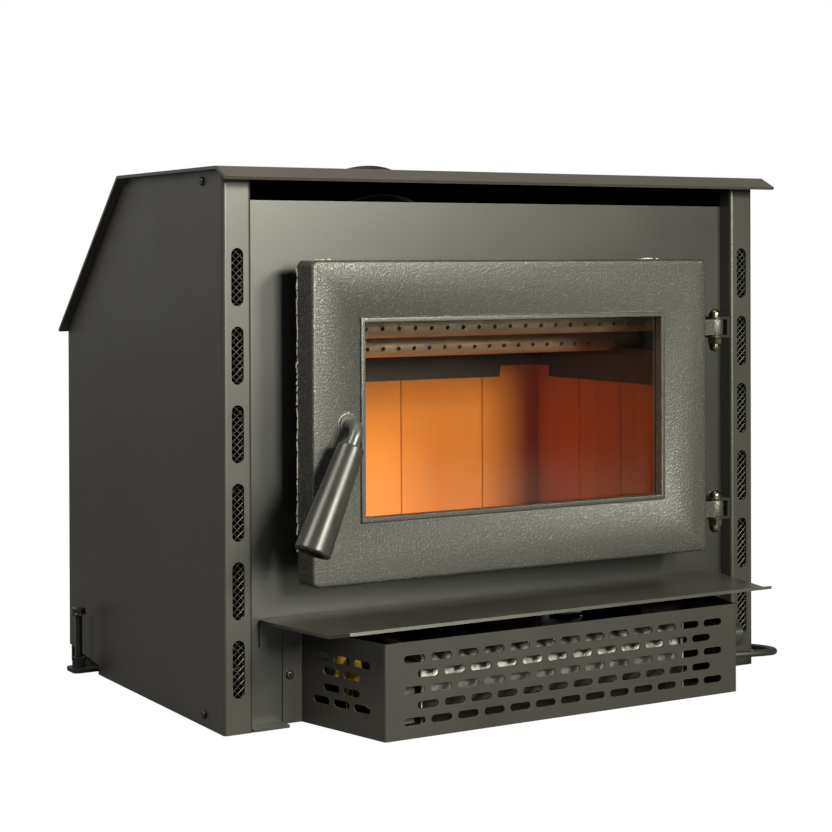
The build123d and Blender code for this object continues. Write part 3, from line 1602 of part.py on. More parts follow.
def power_plug():
    """Moulded three-pin plug at the end of the lead."""
    end, heading = coil_path()[1:]
    level = plug_height / 2 - end.Z + 0.1
    heading = Vector(heading.X, heading.Y, 0).normalized()
    plane = Plane(origin=end, x_dir=heading.cross(Vector(0, 0, 1)), z_dir=heading)
    neck_length = 12
    neck = cone(cord_radius + 1.2, cord_radius + 3.5, end, end + heading * neck_length)
    body_start = plane.offset(neck_length - 0.5)
    vertical = -1 if plane.y_dir.Z < 0 else 1
    section = Pos(0, level * vertical) * RectangleRounded(plug_width, plug_height, 5)
    body = extrude(body_start * section, plug_length)
    body = fillet(body.faces().sort_by_distance(end)[-1].edges(), 2.0)
    face = plane.offset(neck_length - 0.5 + plug_length - 0.5)
    for side in (-6.35, 6.35):
        blade = Pos(side, level * vertical + 3 * vertical) * Rectangle(1.5, 6.35)
        body += extrude(face * blade, 16.5)
    pin = Pos(0, level * vertical - 6 * vertical) * Circle(2.4)
    return neck + body + extrude(face * pin, 18.0)


def build():
    """Make and write every sub-part."""
    panel, mesh = side_panel(), stile_mesh()
    save("base_plate", casing_base())
    save("right_side_panel", panel)
    save("left_side_panel", mirror(panel, about=Plane.YZ))
    save("stile_mesh", mesh, mirror(mesh, about=Plane.YZ))
    save("top_cover", top_cover())
    save("roof_angles", *roof_angles())
    save("rear_panel", rear_panel())
    save("flue_collar", flue_collar())
    save("front_plate", front_plate())
    save("door_seat", door_seat())
    save("firebox_floor", firebox_floor())
    save("firebox_supports", *firebox_supports())
    save("firebox_walls", *firebox_side_walls(), firebox_back_wall())
    save("firebox_top", firebox_top())
    save("firebox_slope", firebox_slope())
    save("rear_firebricks", *rear_firebricks())
    save("side_firebricks", *side_firebricks())
    save("floor_firebricks", *floor_firebricks())
    save("brick_retainers", *brick_retainers())
    save("front_air_tube", air_tube("front"))
    save("rear_air_tube", air_tube("rear"))
    save("baffle_board", baffle_board())
    save("ash_shelf", ash_shelf())
    save("air_slide", air_slide())
    save("air_control_rod", air_control_rod())
    save("air_slide_guides", *air_slide_guides())
    save("hinge_brackets", *[hinge_bracket(level) for level in hinge_levels])
    save("hinge_bolts", *[hinge_bolt(level) for level in hinge_levels])
    save("hinge_cap_nuts", *[cap_nut(level) for level in hinge_levels])
    save("door_frame", door_frame())
    save("door_rope", door_rope())
    save("door_glass", door_glass())
    save("glass_gasket", glass_gasket())
    save("glass_clips", *glass_clips())
    save("handle_shaft", handle_shaft())
    save("handle_grip", handle_grip())
    save("grip_screw", grip_screw())
    save("handle_collars", *handle_collars())
    save("latch_cam", latch_cam())
    save("latch_nut", latch_nut())
    save("blower_box", blower_box())
    save("blower_tray", blower_tray())
    save("scroll_housing", scroll_housing())
    save("blower_wheel", blower_wheel())
    save("blower_shaft", blower_shaft())
    save("motor_rotor", motor_rotor())
    save("blower_end_plates", *blower_end_plates())
    save("motor_stack", motor_stack())
    save("motor_coil", motor_coil())
    save("wire_nuts", *wire_nuts())
    save("speed_control", speed_control())
    save("speed_knob", speed_knob())
    right_bracket = level_bracket()
    both = [mirror(piece, about=Plane.YZ) for piece in right_bracket]
    save("levelling_brackets", *right_bracket, *both)
    bolt = levelling_bolt()
    save("right_levelling_bolt", bolt)
    save("left_levelling_bolt", mirror(bolt, about=Plane.YZ))
    save("casing_screws", *casing_screws())
    save("strain_relief", strain_relief())
    save("power_cord", power_cord())
    save("cord_coil", cord_coil())
    save("power_plug", power_plug())


build()
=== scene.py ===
# %% [markdown]
# # Wood fireplace insert
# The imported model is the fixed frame: each sheet, casting, brick and bolt already has its true size
# and place in metres. This script gives those pieces their finishes and remakes the ones whose form
# or surface needs more than a plain solid: the cast door, the expanded metal behind the slots, the
# fibre rope, the threads and the mains lead.

import math
import random

import bmesh
import bpy
from mathutils import Matrix, Vector


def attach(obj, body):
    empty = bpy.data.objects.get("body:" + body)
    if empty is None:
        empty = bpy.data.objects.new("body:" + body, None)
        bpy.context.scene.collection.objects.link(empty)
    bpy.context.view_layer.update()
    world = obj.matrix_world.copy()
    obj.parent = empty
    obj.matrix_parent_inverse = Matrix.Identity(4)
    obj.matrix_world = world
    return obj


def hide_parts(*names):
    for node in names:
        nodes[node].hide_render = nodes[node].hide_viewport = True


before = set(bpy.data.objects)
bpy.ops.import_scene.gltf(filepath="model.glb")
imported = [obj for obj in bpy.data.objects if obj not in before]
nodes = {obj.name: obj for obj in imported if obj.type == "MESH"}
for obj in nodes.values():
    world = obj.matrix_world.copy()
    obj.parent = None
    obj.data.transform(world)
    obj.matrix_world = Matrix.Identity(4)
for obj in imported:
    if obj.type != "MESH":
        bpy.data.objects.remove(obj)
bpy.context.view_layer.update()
MM = 0.001
print("frame loaded,", len(nodes), "nodes")

# %% [markdown]
# ## Helpers for finished meshes
# A piece is modelled in a bmesh that works in millimetres, the maker's own unit, and is scaled to
# metres once when it becomes an object. Its object then sits at the origin, so patterns on Object
# coordinates stay where they are. Sharp edges are marked from their angle, which keeps flat sheets
# crisp and curved ones smooth.

# %% Mesh helpers
def new_object(name, data):
    """Make an object and link it to the scene."""
    obj = bpy.data.objects.new(name, data)
    bpy.context.scene.collection.objects.link(obj)
    return obj


def piece(name, shape, finish, body, stands_for=(), sharp=35.0, outward=True):
    """Turn a bmesh in millimetres into an object that rides on a body."""
    if outward:
        bmesh.ops.recalc_face_normals(shape, faces=shape.faces)
    bmesh.ops.scale(shape, vec=(MM, MM, MM), verts=shape.verts)
    mesh = bpy.data.meshes.new(name)
    shape.to_mesh(mesh)
    shape.free()
    mesh.materials.append(finish)
    mesh.polygons.foreach_set("use_smooth", [True] * len(mesh.polygons))
    mesh.set_sharp_from_angle(angle=math.radians(sharp))
    obj = new_object(name, mesh)
    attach(obj, body)
    if stands_for:
        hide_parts(*stands_for)
    print(name, len(mesh.polygons), "faces")
    return obj


def bevel(shape, edges, width, segments=3):
    """Round some edges by a width in millimetres."""
    return bmesh.ops.bevel(
        shape, geom=list(edges), offset=width, offset_type="OFFSET", affect="EDGES",
        segments=segments, profile=0.5, material=-1, clamp_overlap=True,
    )


def bar(shape, start, end, radius, end_radius=None, sides=24):
    """Add a closed round bar between two points and return its vertices."""
    start, end = Vector(start), Vector(end)
    line = end - start
    turn = Vector((0, 0, 1)).rotation_difference(line.normalized()).to_matrix().to_4x4()
    made = bmesh.ops.create_cone(
        shape, cap_ends=True, segments=sides, radius1=radius,
        radius2=radius if end_radius is None else end_radius, depth=line.length,
        matrix=Matrix.Translation((start + end) / 2) @ turn,
    )
    return made["verts"]


def rim_edges(verts, axis):
    """Edges of a bar's two round ends, where the bar runs along an axis."""
    return {edge for vertex in verts for edge in vertex.link_edges
            if all(abs(end.co[axis] - vertex.co[axis]) < 0.01 for end in edge.verts)}


def sharp_edges(verts, angle=1.0):
    """Edges at some vertices that fold by more than an angle in radians."""
    return {edge for vertex in verts for edge in vertex.link_edges
            if len(edge.link_faces) == 2 and edge.calc_face_angle(0) > angle}


def slab(shape, low, high):
    """Add a box between two corners and return its vertices."""
    low, high = Vector(low), Vector(high)
    size = high - low
    place = Matrix.Translation((low + high) / 2) @ Matrix.Diagonal((size.x, size.y, size.z, 1))
    return bmesh.ops.create_cube(shape, size=1.0, matrix=place)["verts"]


# %% [markdown]
# ## Shared surface effects
# Paint, cast iron and plated steel all need a fine relief, worn edges and a little dust, only at
# other scales. Each effect is one node group, so it is built once and placed in every material
# with its own values. A group puts out a height or a mask, and the shader stays in the material.

# %% Node helpers
def new_group(name, output, **values):
    """Make a node group with a vector input, some number inputs and one number output."""
    group = bpy.data.node_groups.new(name, "ShaderNodeTree")
    sockets = group.interface
    sockets.new_socket("Vector", in_out="INPUT", socket_type="NodeSocketVector")
    for label, value in values.items():
        socket = sockets.new_socket(label.replace("_", " "), in_out="INPUT",
                                    socket_type="NodeSocketFloat")
        socket.default_value = value
    sockets.new_socket(output, in_out="OUTPUT", socket_type="NodeSocketFloat")
    return group, group.nodes.new("NodeGroupInput"), group.nodes.new("NodeGroupOutput")


def set_input(tree, socket, value):
    """Link another node's socket to an input, or write a plain value into it."""
    if isinstance(value, bpy.types.NodeSocket):
        tree.links.new(value, socket)
    else:
        socket.default_value = value


def feed(tree, node, **values):
    """Set some of a node's inputs by their labels and return the node."""
    for label, value in values.items():
        set_input(tree, node.inputs[label.replace("_", " ")], value)
    return node


def add(tree, kind, **values):
    """Add a shader node of a kind with some of its inputs set."""
    return feed(tree, tree.nodes.new("ShaderNode" + kind), **values)


def math_node(tree, operation, first, second, clamp=False):
    """Add a Math node fed by sockets or plain numbers."""
    node = add(tree, "Math")
    node.operation = operation
    node.use_clamp = clamp
    set_input(tree, node.inputs[0], first)
    set_input(tree, node.inputs[1], second)
    return node.outputs[0]


def above(tree, value, floor, gain):
    """How far a value lies above a floor, times a gain, kept between 0 and 1."""
    return math_node(tree, "MULTIPLY", math_node(tree, "SUBTRACT", value, floor), gain, clamp=True)


def noise_node(tree, vector, scale, detail=3.0, roughness=0.55, distortion=0.0):
    """Add a Noise Texture and return its value."""
    return add(tree, "TexNoise", Vector=vector, Scale=scale, Detail=detail, Roughness=roughness,
               Distortion=distortion).outputs["Fac"]


def ramp_node(tree, value, stops):
    """Add a Color Ramp with (position, colour) stops."""
    node = add(tree, "ValToRGB", Fac=value)
    elements = node.color_ramp.elements
    while len(elements) < len(stops):
        elements.new(0.5)
    for element, (position, colour) in zip(elements, stops):
        element.position = position
        element.color = (*colour, 1.0)
    return node.outputs["Color"]


def tinted(tone, share):
    """A tone made lighter or darker."""
    return tuple(min(1.0, channel * share) for channel in tone)


def mix_colour(tree, factor, first, second):
    """Add a colour Mix node; first and second are sockets or colours."""
    node = add(tree, "Mix")
    node.data_type = "RGBA"
    for index, value in ((0, factor), (6, first), (7, second)):
        colour = (*value, 1.0) if isinstance(value, tuple) else value
        set_input(tree, node.inputs[index], colour)
    return node.outputs[2]


# %% [markdown]
# ### Grain
# Powder paint has a faint orange peel and a sand casting a coarse pebbled skin. Both are two layers
# of noise: soft lumps and finer grit. The group takes the size of a grain in millimetres, so the
# same group serves paint at half a millimetre and iron at two.

# %% Grain group
grain_group, inside, outside = new_group("surface_grain", "Height", Grain_mm=1.0, Grit=0.4)
frequency = math_node(grain_group, "DIVIDE", 1000.0, inside.outputs["Grain mm"])
lumps = noise_node(grain_group, inside.outputs["Vector"], frequency, detail=1.5)
finer = math_node(grain_group, "MULTIPLY", frequency, 2.7)
grit = noise_node(grain_group, inside.outputs["Vector"], finer, detail=2.0)
grit = math_node(grain_group, "MULTIPLY", grit, inside.outputs["Grit"])
grain_group.links.new(math_node(grain_group, "ADD", lumps, grit), outside.inputs["Height"])
print(grain_group.name, len(grain_group.nodes), "nodes")

# %% [markdown]
# ### Worn edges
# Paint thins on the edges of folded sheet, and cast edges are rubbed bright; on the door that
# brightness is partly a painted highlight. The Bevel node finds edges on any mesh, also on the
# frame's, by comparing a rounded normal with the true one. Noise breaks the line up, because wear
# is never even.

# %% Edge wear group
edge_group, inside, outside = new_group("edge_wear", "Mask", Patchiness=60.0, Strength=1.0)
rounded = add(edge_group, "Bevel", Radius=0.0009)
rounded.samples = 4
compare = add(edge_group, "VectorMath")
compare.operation = "DOT_PRODUCT"
for socket, node in zip(compare.inputs, (rounded, add(edge_group, "NewGeometry"))):
    set_input(edge_group, socket, node.outputs["Normal"])
edge = math_node(edge_group, "SUBTRACT", 1.0, compare.outputs["Value"])
edge = math_node(edge_group, "MULTIPLY", edge, 6.0, clamp=True)
patches = noise_node(edge_group, inside.outputs["Vector"], inside.outputs["Patchiness"], detail=4.0)
edge = math_node(edge_group, "MULTIPLY", edge, above(edge_group, patches, 0.38, 4.0))
edge = math_node(edge_group, "MULTIPLY", edge, inside.outputs["Strength"], clamp=True)
edge_group.links.new(edge, outside.inputs["Mask"])
print(edge_group.name, len(edge_group.nodes), "nodes")

# %% [markdown]
# ### Settled dust
# Fine ash lies on what faces up. The mask is the upward part of the normal, broken by cloudy noise.

# %% Dust group
dust_group, inside, outside = new_group("settled_dust", "Mask", Cloud=9.0)
surface = add(dust_group, "NewGeometry")
split = add(dust_group, "SeparateXYZ", Vector=surface.outputs["Normal"])
up = math_node(dust_group, "MULTIPLY", split.outputs["Z"], 1.4, clamp=True)
cloud = noise_node(dust_group, inside.outputs["Vector"], inside.outputs["Cloud"], detail=6.0)
cloud = math_node(dust_group, "MULTIPLY", cloud, 1.2, clamp=True)
dust_group.links.new(math_node(dust_group, "MULTIPLY", up, cloud), outside.inputs["Mask"])
print(dust_group.name, len(dust_group.nodes), "nodes")


# %% [markdown]
# ## Finishes
# Each finish starts from the same skeleton: Object coordinates, a Principled shader and a bump. The
# helper returns the pieces that each finish then joins up in its own way.

# %% Material skeleton
def new_material(name):
    """Make a material and return it with its node tree."""
    material = bpy.data.materials.new(name)
    material.use_nodes = True
    return material, material.node_tree


def new_finish(name, metallic=0.0, roughness=0.5, specular=0.5):
    """Make a material and return it with its tree, shader and Object coordinates."""
    material, tree = new_material(name)
    shader = feed(tree, tree.nodes["Principled BSDF"], Metallic=metallic, Roughness=roughness,
                  Specular_IOR_Level=specular)
    print("finish", name)
    return material, tree, shader, add(tree, "TexCoord").outputs["Object"]


def place_group(tree, group, vector, **values):
    """Place a node group fed by coordinates, with its own values."""
    node = add(tree, "Group")
    node.node_tree = group
    return feed(tree, node, Vector=vector, **values).outputs[0]


def add_bump(tree, shader, height, depth_mm):
    """Feed the shader's normal from a height."""
    bump = add(tree, "Bump", Distance=depth_mm * MM, Height=height)
    feed(tree, shader, Normal=bump.outputs["Normal"])


def roughness_between(tree, shader, value, low, high):
    """Vary the shader's roughness between two values."""
    span = add(tree, "MapRange", Value=value, From_Min=0.3, From_Max=0.7, To_Min=low, To_Max=high)
    feed(tree, shader, Roughness=span.outputs[0])


# %% [markdown]
# ### Painted sheet steel
# High-temperature paint is satin and slightly warm. A broad cloud changes its tone a little, the
# peel scatters highlights, edges wear to a lighter tone, and dust lies on level faces.

# %% Painted steel
def painted_steel(name, tone, roughness=(0.38, 0.45), wear=0.35, specular=0.8):
    """Satin paint in a tone, with its roughness range and strength of wear."""
    material, tree, shader, place = new_finish(name, specular=specular)
    cloud = noise_node(tree, place, 5.0, detail=4.0)
    colour = ramp_node(tree, cloud, [(0.32, tinted(tone, 0.90)), (0.68, tinted(tone, 1.10))])
    edge_mask = place_group(tree, edge_group, place, Patchiness=45.0, Strength=wear)
    colour = mix_colour(tree, edge_mask, colour, tinted(tone, 3.2))
    ash = place_group(tree, dust_group, place, Cloud=11.0)
    ash = math_node(tree, "MULTIPLY", ash, 0.08)
    colour = mix_colour(tree, ash, colour, (0.33, 0.31, 0.28))
    feed(tree, shader, Base_Color=colour)
    peel = place_group(tree, grain_group, place, Grain_mm=0.55, Grit=0.3)
    roughness_between(tree, shader, noise_node(tree, place, 14.0, detail=3.0), *roughness)
    add_bump(tree, shader, peel, 0.010)
    return material


casing_paint = painted_steel("casing_paint", (0.024, 0.023, 0.018))
plate_paint = painted_steel("face_plate_paint", (0.011, 0.011, 0.0095), roughness=(0.38, 0.42),
                            specular=1.0)
roof_paint = painted_steel("roof_paint", (0.036, 0.031, 0.022), roughness=(0.36, 0.46))
shelf_paint = painted_steel("shelf_paint", (0.020, 0.018, 0.015), roughness=(0.34, 0.44), wear=0.6)
box_paint = painted_steel("blower_box_paint", (0.024, 0.022, 0.0185), roughness=(0.36, 0.44),
                          wear=0.8)
bracket_paint = painted_steel("bracket_paint", (0.010, 0.010, 0.009), roughness=(0.40, 0.5),
                              wear=0.3, specular=0.4)


# %% [markdown]
# ### Sand-cast iron
# The door's skin is the print of moulding sand: pebbles a millimetre or two across under a finer
# grit, painted over. Its hollows are darkened as painted shade and its highest crowns lightened as
# painted glints. Its raised rim and corners are rubbed, so the wear is stronger than on sheet; the
# lighter edge is partly a painted highlight along the door's arris.

# %% Cast iron
def cast_iron(name, tone):
    """Painted sand casting: painted shade in hollows, painted glints on crowns, and rubbed edges that
    are partly a painted highlight.
    """
    material, tree, shader, place = new_finish(name, specular=1.0)
    cloud = noise_node(tree, place, 9.0, detail=5.0)
    colour = ramp_node(tree, cloud, [(0.30, tinted(tone, 0.86)), (0.70, tinted(tone, 1.14))])
    sand = place_group(tree, grain_group, place, Grain_mm=1.95, Grit=0.5)
    # The sand's hollows are darkened as painted shade and its highest crowns lightened as painted
    # glints.
    tops = above(tree, sand, 0.66, 5.0)
    colour = mix_colour(tree, tops, tinted(tone, 0.30), colour)
    colour = mix_colour(tree, above(tree, sand, 0.78, 8.0), colour, tinted(tone, 4.4))
    # Rubbed edges: partly real wear, partly a painted highlight that brightens the door's arris.
    edge_mask = place_group(tree, edge_group, place, Patchiness=90.0, Strength=0.7)
    colour = mix_colour(tree, edge_mask, colour, (0.36, 0.345, 0.30))
    feed(tree, shader, Base_Color=colour)
    roughness_between(tree, shader, math_node(tree, "SUBTRACT", 1.0, tops), 0.29, 0.54)
    add_bump(tree, shader, sand, 0.34)
    return material


door_iron = cast_iron("door_cast_iron", (0.017, 0.017, 0.0142))


# %% [markdown]
# ### Firebox steel
# Inside, bare plate has been heated once: brown-black with faint blooms. The air tubes are paler,
# the colour of straw. A second noise at a larger scale carries the bloom.

# %% Heated steel
def heated_steel(name, dark, bloom, metallic=0.35, roughness=(0.42, 0.62)):
    """Bare plate that has been heated, dark with patches of a bloom."""
    material, tree, shader, place = new_finish(name, metallic=metallic)
    fine = noise_node(tree, place, 60.0, detail=6.0)
    base = ramp_node(tree, fine, [(0.3, tinted(dark, 0.75)), (0.7, dark)])
    broad = noise_node(tree, place, 7.0, detail=3.0, distortion=0.8)
    colour = mix_colour(tree, above(tree, broad, 0.45, 3.0), base, bloom)
    feed(tree, shader, Base_Color=colour)
    roughness_between(tree, shader, fine, *roughness)
    add_bump(tree, shader, place_group(tree, grain_group, place, Grain_mm=0.8, Grit=0.5), 0.03)
    return material


firebox_steel = heated_steel("firebox_steel", (0.024, 0.021, 0.019), (0.040, 0.031, 0.025))
retainer_steel = heated_steel("retainer_steel", (0.030, 0.027, 0.023), (0.046, 0.036, 0.028),
                              metallic=0.1)
tube_steel = heated_steel("air_tube_steel", (0.62, 0.56, 0.46), (0.66, 0.52, 0.38), metallic=0.35,
                          roughness=(0.30, 0.45))
lamination_steel = heated_steel("lamination_steel", (0.16, 0.16, 0.155), (0.22, 0.21, 0.20),
                                metallic=0.9)

# %% [markdown]
# ### Firebrick
# Pumice firebrick is pale orange through the tinted glass, with open pores darkened as painted
# shade, a darker mottle and a tone that differs from brick to brick. The brick's own tone comes
# from white noise on the cell it stands in, so joints in the pattern fall on the real joints: 111.4
# mm across and full height.

# %% Firebrick
BRICK_PITCH, FIRST_JOINT, FLOOR_PITCH = 0.1114, 0.0583, 0.0807
firebrick, tree, shader, place = new_finish("firebrick", roughness=0.92, specular=0.2)
cell = add(tree, "Mapping", Vector=place, Location=(-FIRST_JOINT / BRICK_PITCH, 0.0, 0.0),
           Scale=(1 / BRICK_PITCH, 1 / FLOOR_PITCH, 0.0))
whole_part = add(tree, "VectorMath", Vector=cell.outputs[0])
whole_part.operation = "FLOOR"
each = add(tree, "TexWhiteNoise", Vector=whole_part.outputs[0])
tone = ramp_node(
    tree, each.outputs["Value"], [(0.0, (0.77, 0.285, 0.052)), (1.0, (0.84, 0.330, 0.066))],
)
mottle = noise_node(tree, place, 26.0, detail=7.0, roughness=0.65)
tone = mix_colour(tree, math_node(tree, "MULTIPLY", mottle, 0.34), tone, (0.62, 0.20, 0.040))
# Pores are small pits, sunk by the bump and darkened as painted shade.
pores = add(tree, "TexVoronoi", Vector=place, Scale=330.0)
pore = math_node(tree, "SUBTRACT", 0.16, pores.outputs["Distance"])
pore = math_node(tree, "MULTIPLY", pore, 7.0, clamp=True)
chosen = noise_node(tree, place, 90.0, detail=2.0)
pore = math_node(tree, "MULTIPLY", pore, above(tree, chosen, 0.52, 12.0))
tone = mix_colour(tree, math_node(tree, "MULTIPLY", pore, 0.7), tone, (0.20, 0.07, 0.02))
feed(tree, shader, Base_Color=tone)
roughened = place_group(tree, grain_group, place, Grain_mm=1.3, Grit=0.8)
add_bump(tree, shader, math_node(tree, "SUBTRACT", roughened, pore), 0.18)

# %% [markdown]
# ### Baffle board
# Pressed ceramic fibre, darkened. Fibres show as short streaks, which a stretched noise gives.

# %% Baffle board
baffle_fibre, tree, shader, place = new_finish("baffle_fibre", roughness=0.95, specular=0.2)
stretch = add(tree, "Mapping", Vector=place, Scale=(70.0, 260.0, 260.0))
streaks = noise_node(tree, stretch.outputs[0], 1.0, detail=5.0)
colour = ramp_node(tree, streaks, [(0.3, (0.050, 0.038, 0.028)), (0.7, (0.11, 0.085, 0.060))])
feed(tree, shader, Base_Color=colour)
add_bump(tree, shader, streaks, 0.3)


# %% [markdown]
# ### Plated and bare steel
# Screws and clips are zinc-plated, with a fine grain and a soft shine. The handle's shaft is
# painted. The blower's sheet shows the spangle of hot-dip galvanising, which Voronoi cells give.

# %% Plated steel
def plated_steel(name, tone, roughness=(0.22, 0.38)):
    """Plated or bare metal in a tone, with its roughness range."""
    material, tree, shader, place = new_finish(name, metallic=1.0)
    haze = noise_node(tree, place, 120.0, detail=5.0)
    colour = ramp_node(tree, haze, [(0.3, tinted(tone, 0.82)), (0.7, tone)])
    edge_mask = place_group(tree, edge_group, place, Patchiness=200.0, Strength=0.4)
    colour = mix_colour(tree, edge_mask, colour, tinted(tone, 1.35))
    feed(tree, shader, Base_Color=colour)
    roughness_between(tree, shader, haze, *roughness)
    add_bump(tree, shader, place_group(tree, grain_group, place, Grain_mm=0.35, Grit=0.4), 0.008)
    return material


bright_steel = plated_steel("plated_fastener", (0.56, 0.54, 0.50))
bronze_steel = plated_steel("hinge_bolt_steel", (0.25, 0.22, 0.16), roughness=(0.20, 0.34))
dark_steel = plated_steel("black_oxide_bolt", (0.085, 0.080, 0.072), roughness=(0.30, 0.45))
strand_steel = plated_steel("expanded_strand", (0.42, 0.41, 0.38), roughness=(0.32, 0.5))
shaft_steel = painted_steel("handle_shaft_paint", (0.045, 0.045, 0.042), roughness=(0.30, 0.40))

galvanised, tree, shader, place = new_finish("galvanised_sheet", metallic=0.85)
spangle = add(tree, "TexVoronoi", Vector=place, Scale=150.0)
shade = add(tree, "SeparateColor", Color=spangle.outputs["Color"])
stops = [(0.0, (0.34, 0.36, 0.34)), (1.0, (0.56, 0.58, 0.54))]
feed(tree, shader, Base_Color=ramp_node(tree, shade.outputs["Red"], stops))
roughness_between(tree, shader, shade.outputs["Green"], 0.34, 0.52)
add_bump(tree, shader, shade.outputs["Blue"], 0.01)


# %% [markdown]
# ### Plastics, rubber and winding
# The grip is black phenolic with a faint texture. The knob, speed control and lead are softer
# blacks. The winding is lacquered copper wire, wound in fine ridges, with painted shade in the
# grooves between the turns.

# %% Plastics, rubber and copper
def moulded(name, tone, roughness, grain, depth):
    """Moulded plastic or rubber with a fine texture."""
    material, tree, shader, place = new_finish(name)
    haze = noise_node(tree, place, 40.0, detail=5.0)
    colour = ramp_node(tree, haze, [(0.3, tinted(tone, 0.85)), (0.7, tone)])
    edge_mask = place_group(tree, edge_group, place, Patchiness=140.0, Strength=0.25)
    colour = mix_colour(tree, edge_mask, colour, tinted(tone, 2.6))
    feed(tree, shader, Base_Color=colour)
    roughness_between(tree, shader, haze, *roughness)
    add_bump(tree, shader, place_group(tree, grain_group, place, Grain_mm=grain, Grit=0.6), depth)
    return material


grip_phenolic = moulded("grip_phenolic", (0.030, 0.030, 0.027), (0.28, 0.38), 0.5, 0.012)
knob_plastic = moulded("knob_plastic", (0.022, 0.022, 0.022), (0.28, 0.38), 0.4, 0.006)
cord_rubber = moulded("lead_rubber", (0.018, 0.018, 0.018), (0.42, 0.55), 0.4, 0.015)
plug_rubber = moulded("plug_rubber", (0.020, 0.020, 0.020), (0.38, 0.50), 0.6, 0.02)
yellow_plastic = moulded("wire_nut_plastic", (0.75, 0.45, 0.03), (0.30, 0.42), 0.8, 0.01)
red_insulation = moulded("red_insulation", (0.50, 0.02, 0.015), (0.30, 0.45), 0.6, 0.01)

copper_wire, tree, shader, place = new_finish("copper_winding", metallic=0.9, roughness=0.32)
ridges = add(tree, "TexWave", Vector=place, Scale=420.0, Distortion=0.6)
ridges.bands_direction = "X"
# Colour follows the ridges: the grooves between turns are darkened as painted shade.
stops = [(0.2, (0.20, 0.06, 0.025)), (0.8, (0.62, 0.24, 0.10))]
feed(tree, shader, Base_Color=ramp_node(tree, ridges.outputs["Fac"], stops))
add_bump(tree, shader, ridges.outputs["Fac"], 0.15)

# %% [markdown]
# ### Fibre rope and glass tape
# The seal is a knitted rope with a greyish sparkle. Two waves that cross at an angle make the knit,
# and its tone follows the stitches as painted shade: lighter on the crowns, darker between them.

# %% Woven fibre
def woven_fibre(name, dark, light, pitch):
    """Knit of two crossing waves, a pitch in millimetres apart."""
    material, tree, shader, place = new_finish(name, roughness=0.85, specular=0.3)
    heights = []
    for direction in (1.0, -1.0):
        turn = add(tree, "Mapping", Vector=place,
                   Rotation=(0.0, direction * 0.9, 0.35 * direction))
        wave = add(tree, "TexWave", Vector=turn.outputs[0], Scale=0.31 / (pitch * MM),
                   Distortion=1.5, Detail=2.0, Detail_Scale=2.0)
        heights.append(wave.outputs["Fac"])
    knit = math_node(tree, "MAXIMUM", *heights)
    fuzz = noise_node(tree, place, 900.0, detail=3.0)
    height = math_node(tree, "ADD", knit, math_node(tree, "MULTIPLY", fuzz, 0.5))
    # Colour follows the knit's height: painted shade between the stitches, lighter crowns.
    colour = ramp_node(tree, height, [(0.35, dark), (0.95, light)])
    feed(tree, shader, Base_Color=colour)
    add_bump(tree, shader, height, 0.7)
    return material


rope_fibre = woven_fibre("rope_fibre", (0.09, 0.085, 0.08), (0.52, 0.50, 0.46), 2.6)
tape_fibre = woven_fibre("glass_tape", (0.05, 0.048, 0.045), (0.17, 0.16, 0.15), 1.2)
glass_fibre = woven_fibre("glass_fibre", (0.34, 0.31, 0.26), (0.92, 0.88, 0.80), 0.8)

# %% [markdown]
# ### Ceramic glass
# The pane is clear with a faint amber tint. Light must reach the bricks through it, so for shadow
# rays it turns transparent; the camera still sees its true reflections. Transmission and metallic
# stay plain numbers on the shader.

# %% Ceramic glass
def choose_shader(tree, share, first, second, output):
    """Mix two shaders by a share and feed the output node."""
    choose = add(tree, "MixShader")
    for socket, source in zip(choose.inputs, (share, first.outputs[0], second.outputs[0])):
        set_input(tree, socket, source)
    feed(tree, tree.nodes[output], Surface=choose.outputs[0])


window_glass, tree = new_material("window_glass")
pane = feed(tree, tree.nodes["Principled BSDF"], Base_Color=(0.97, 0.93, 0.86, 1.0),
            Roughness=0.02, IOR=1.5, Transmission_Weight=1.0)
clear = add(tree, "BsdfTransparent", Color=(0.96, 0.92, 0.86, 1.0))
rays = add(tree, "LightPath")
either = math_node(tree, "MAXIMUM", rays.outputs["Is Shadow Ray"], rays.outputs["Is Diffuse Ray"])
choose_shader(tree, either, pane, clear, "Material Output")
print("finish", window_glass.name)

# %% [markdown]
# ## Finishes on the frame's own pieces
# Sheets, plates, bricks and turned parts keep their exact solids and only get a finish. The table
# lists every node once, and the loop checks that none is left without a material.

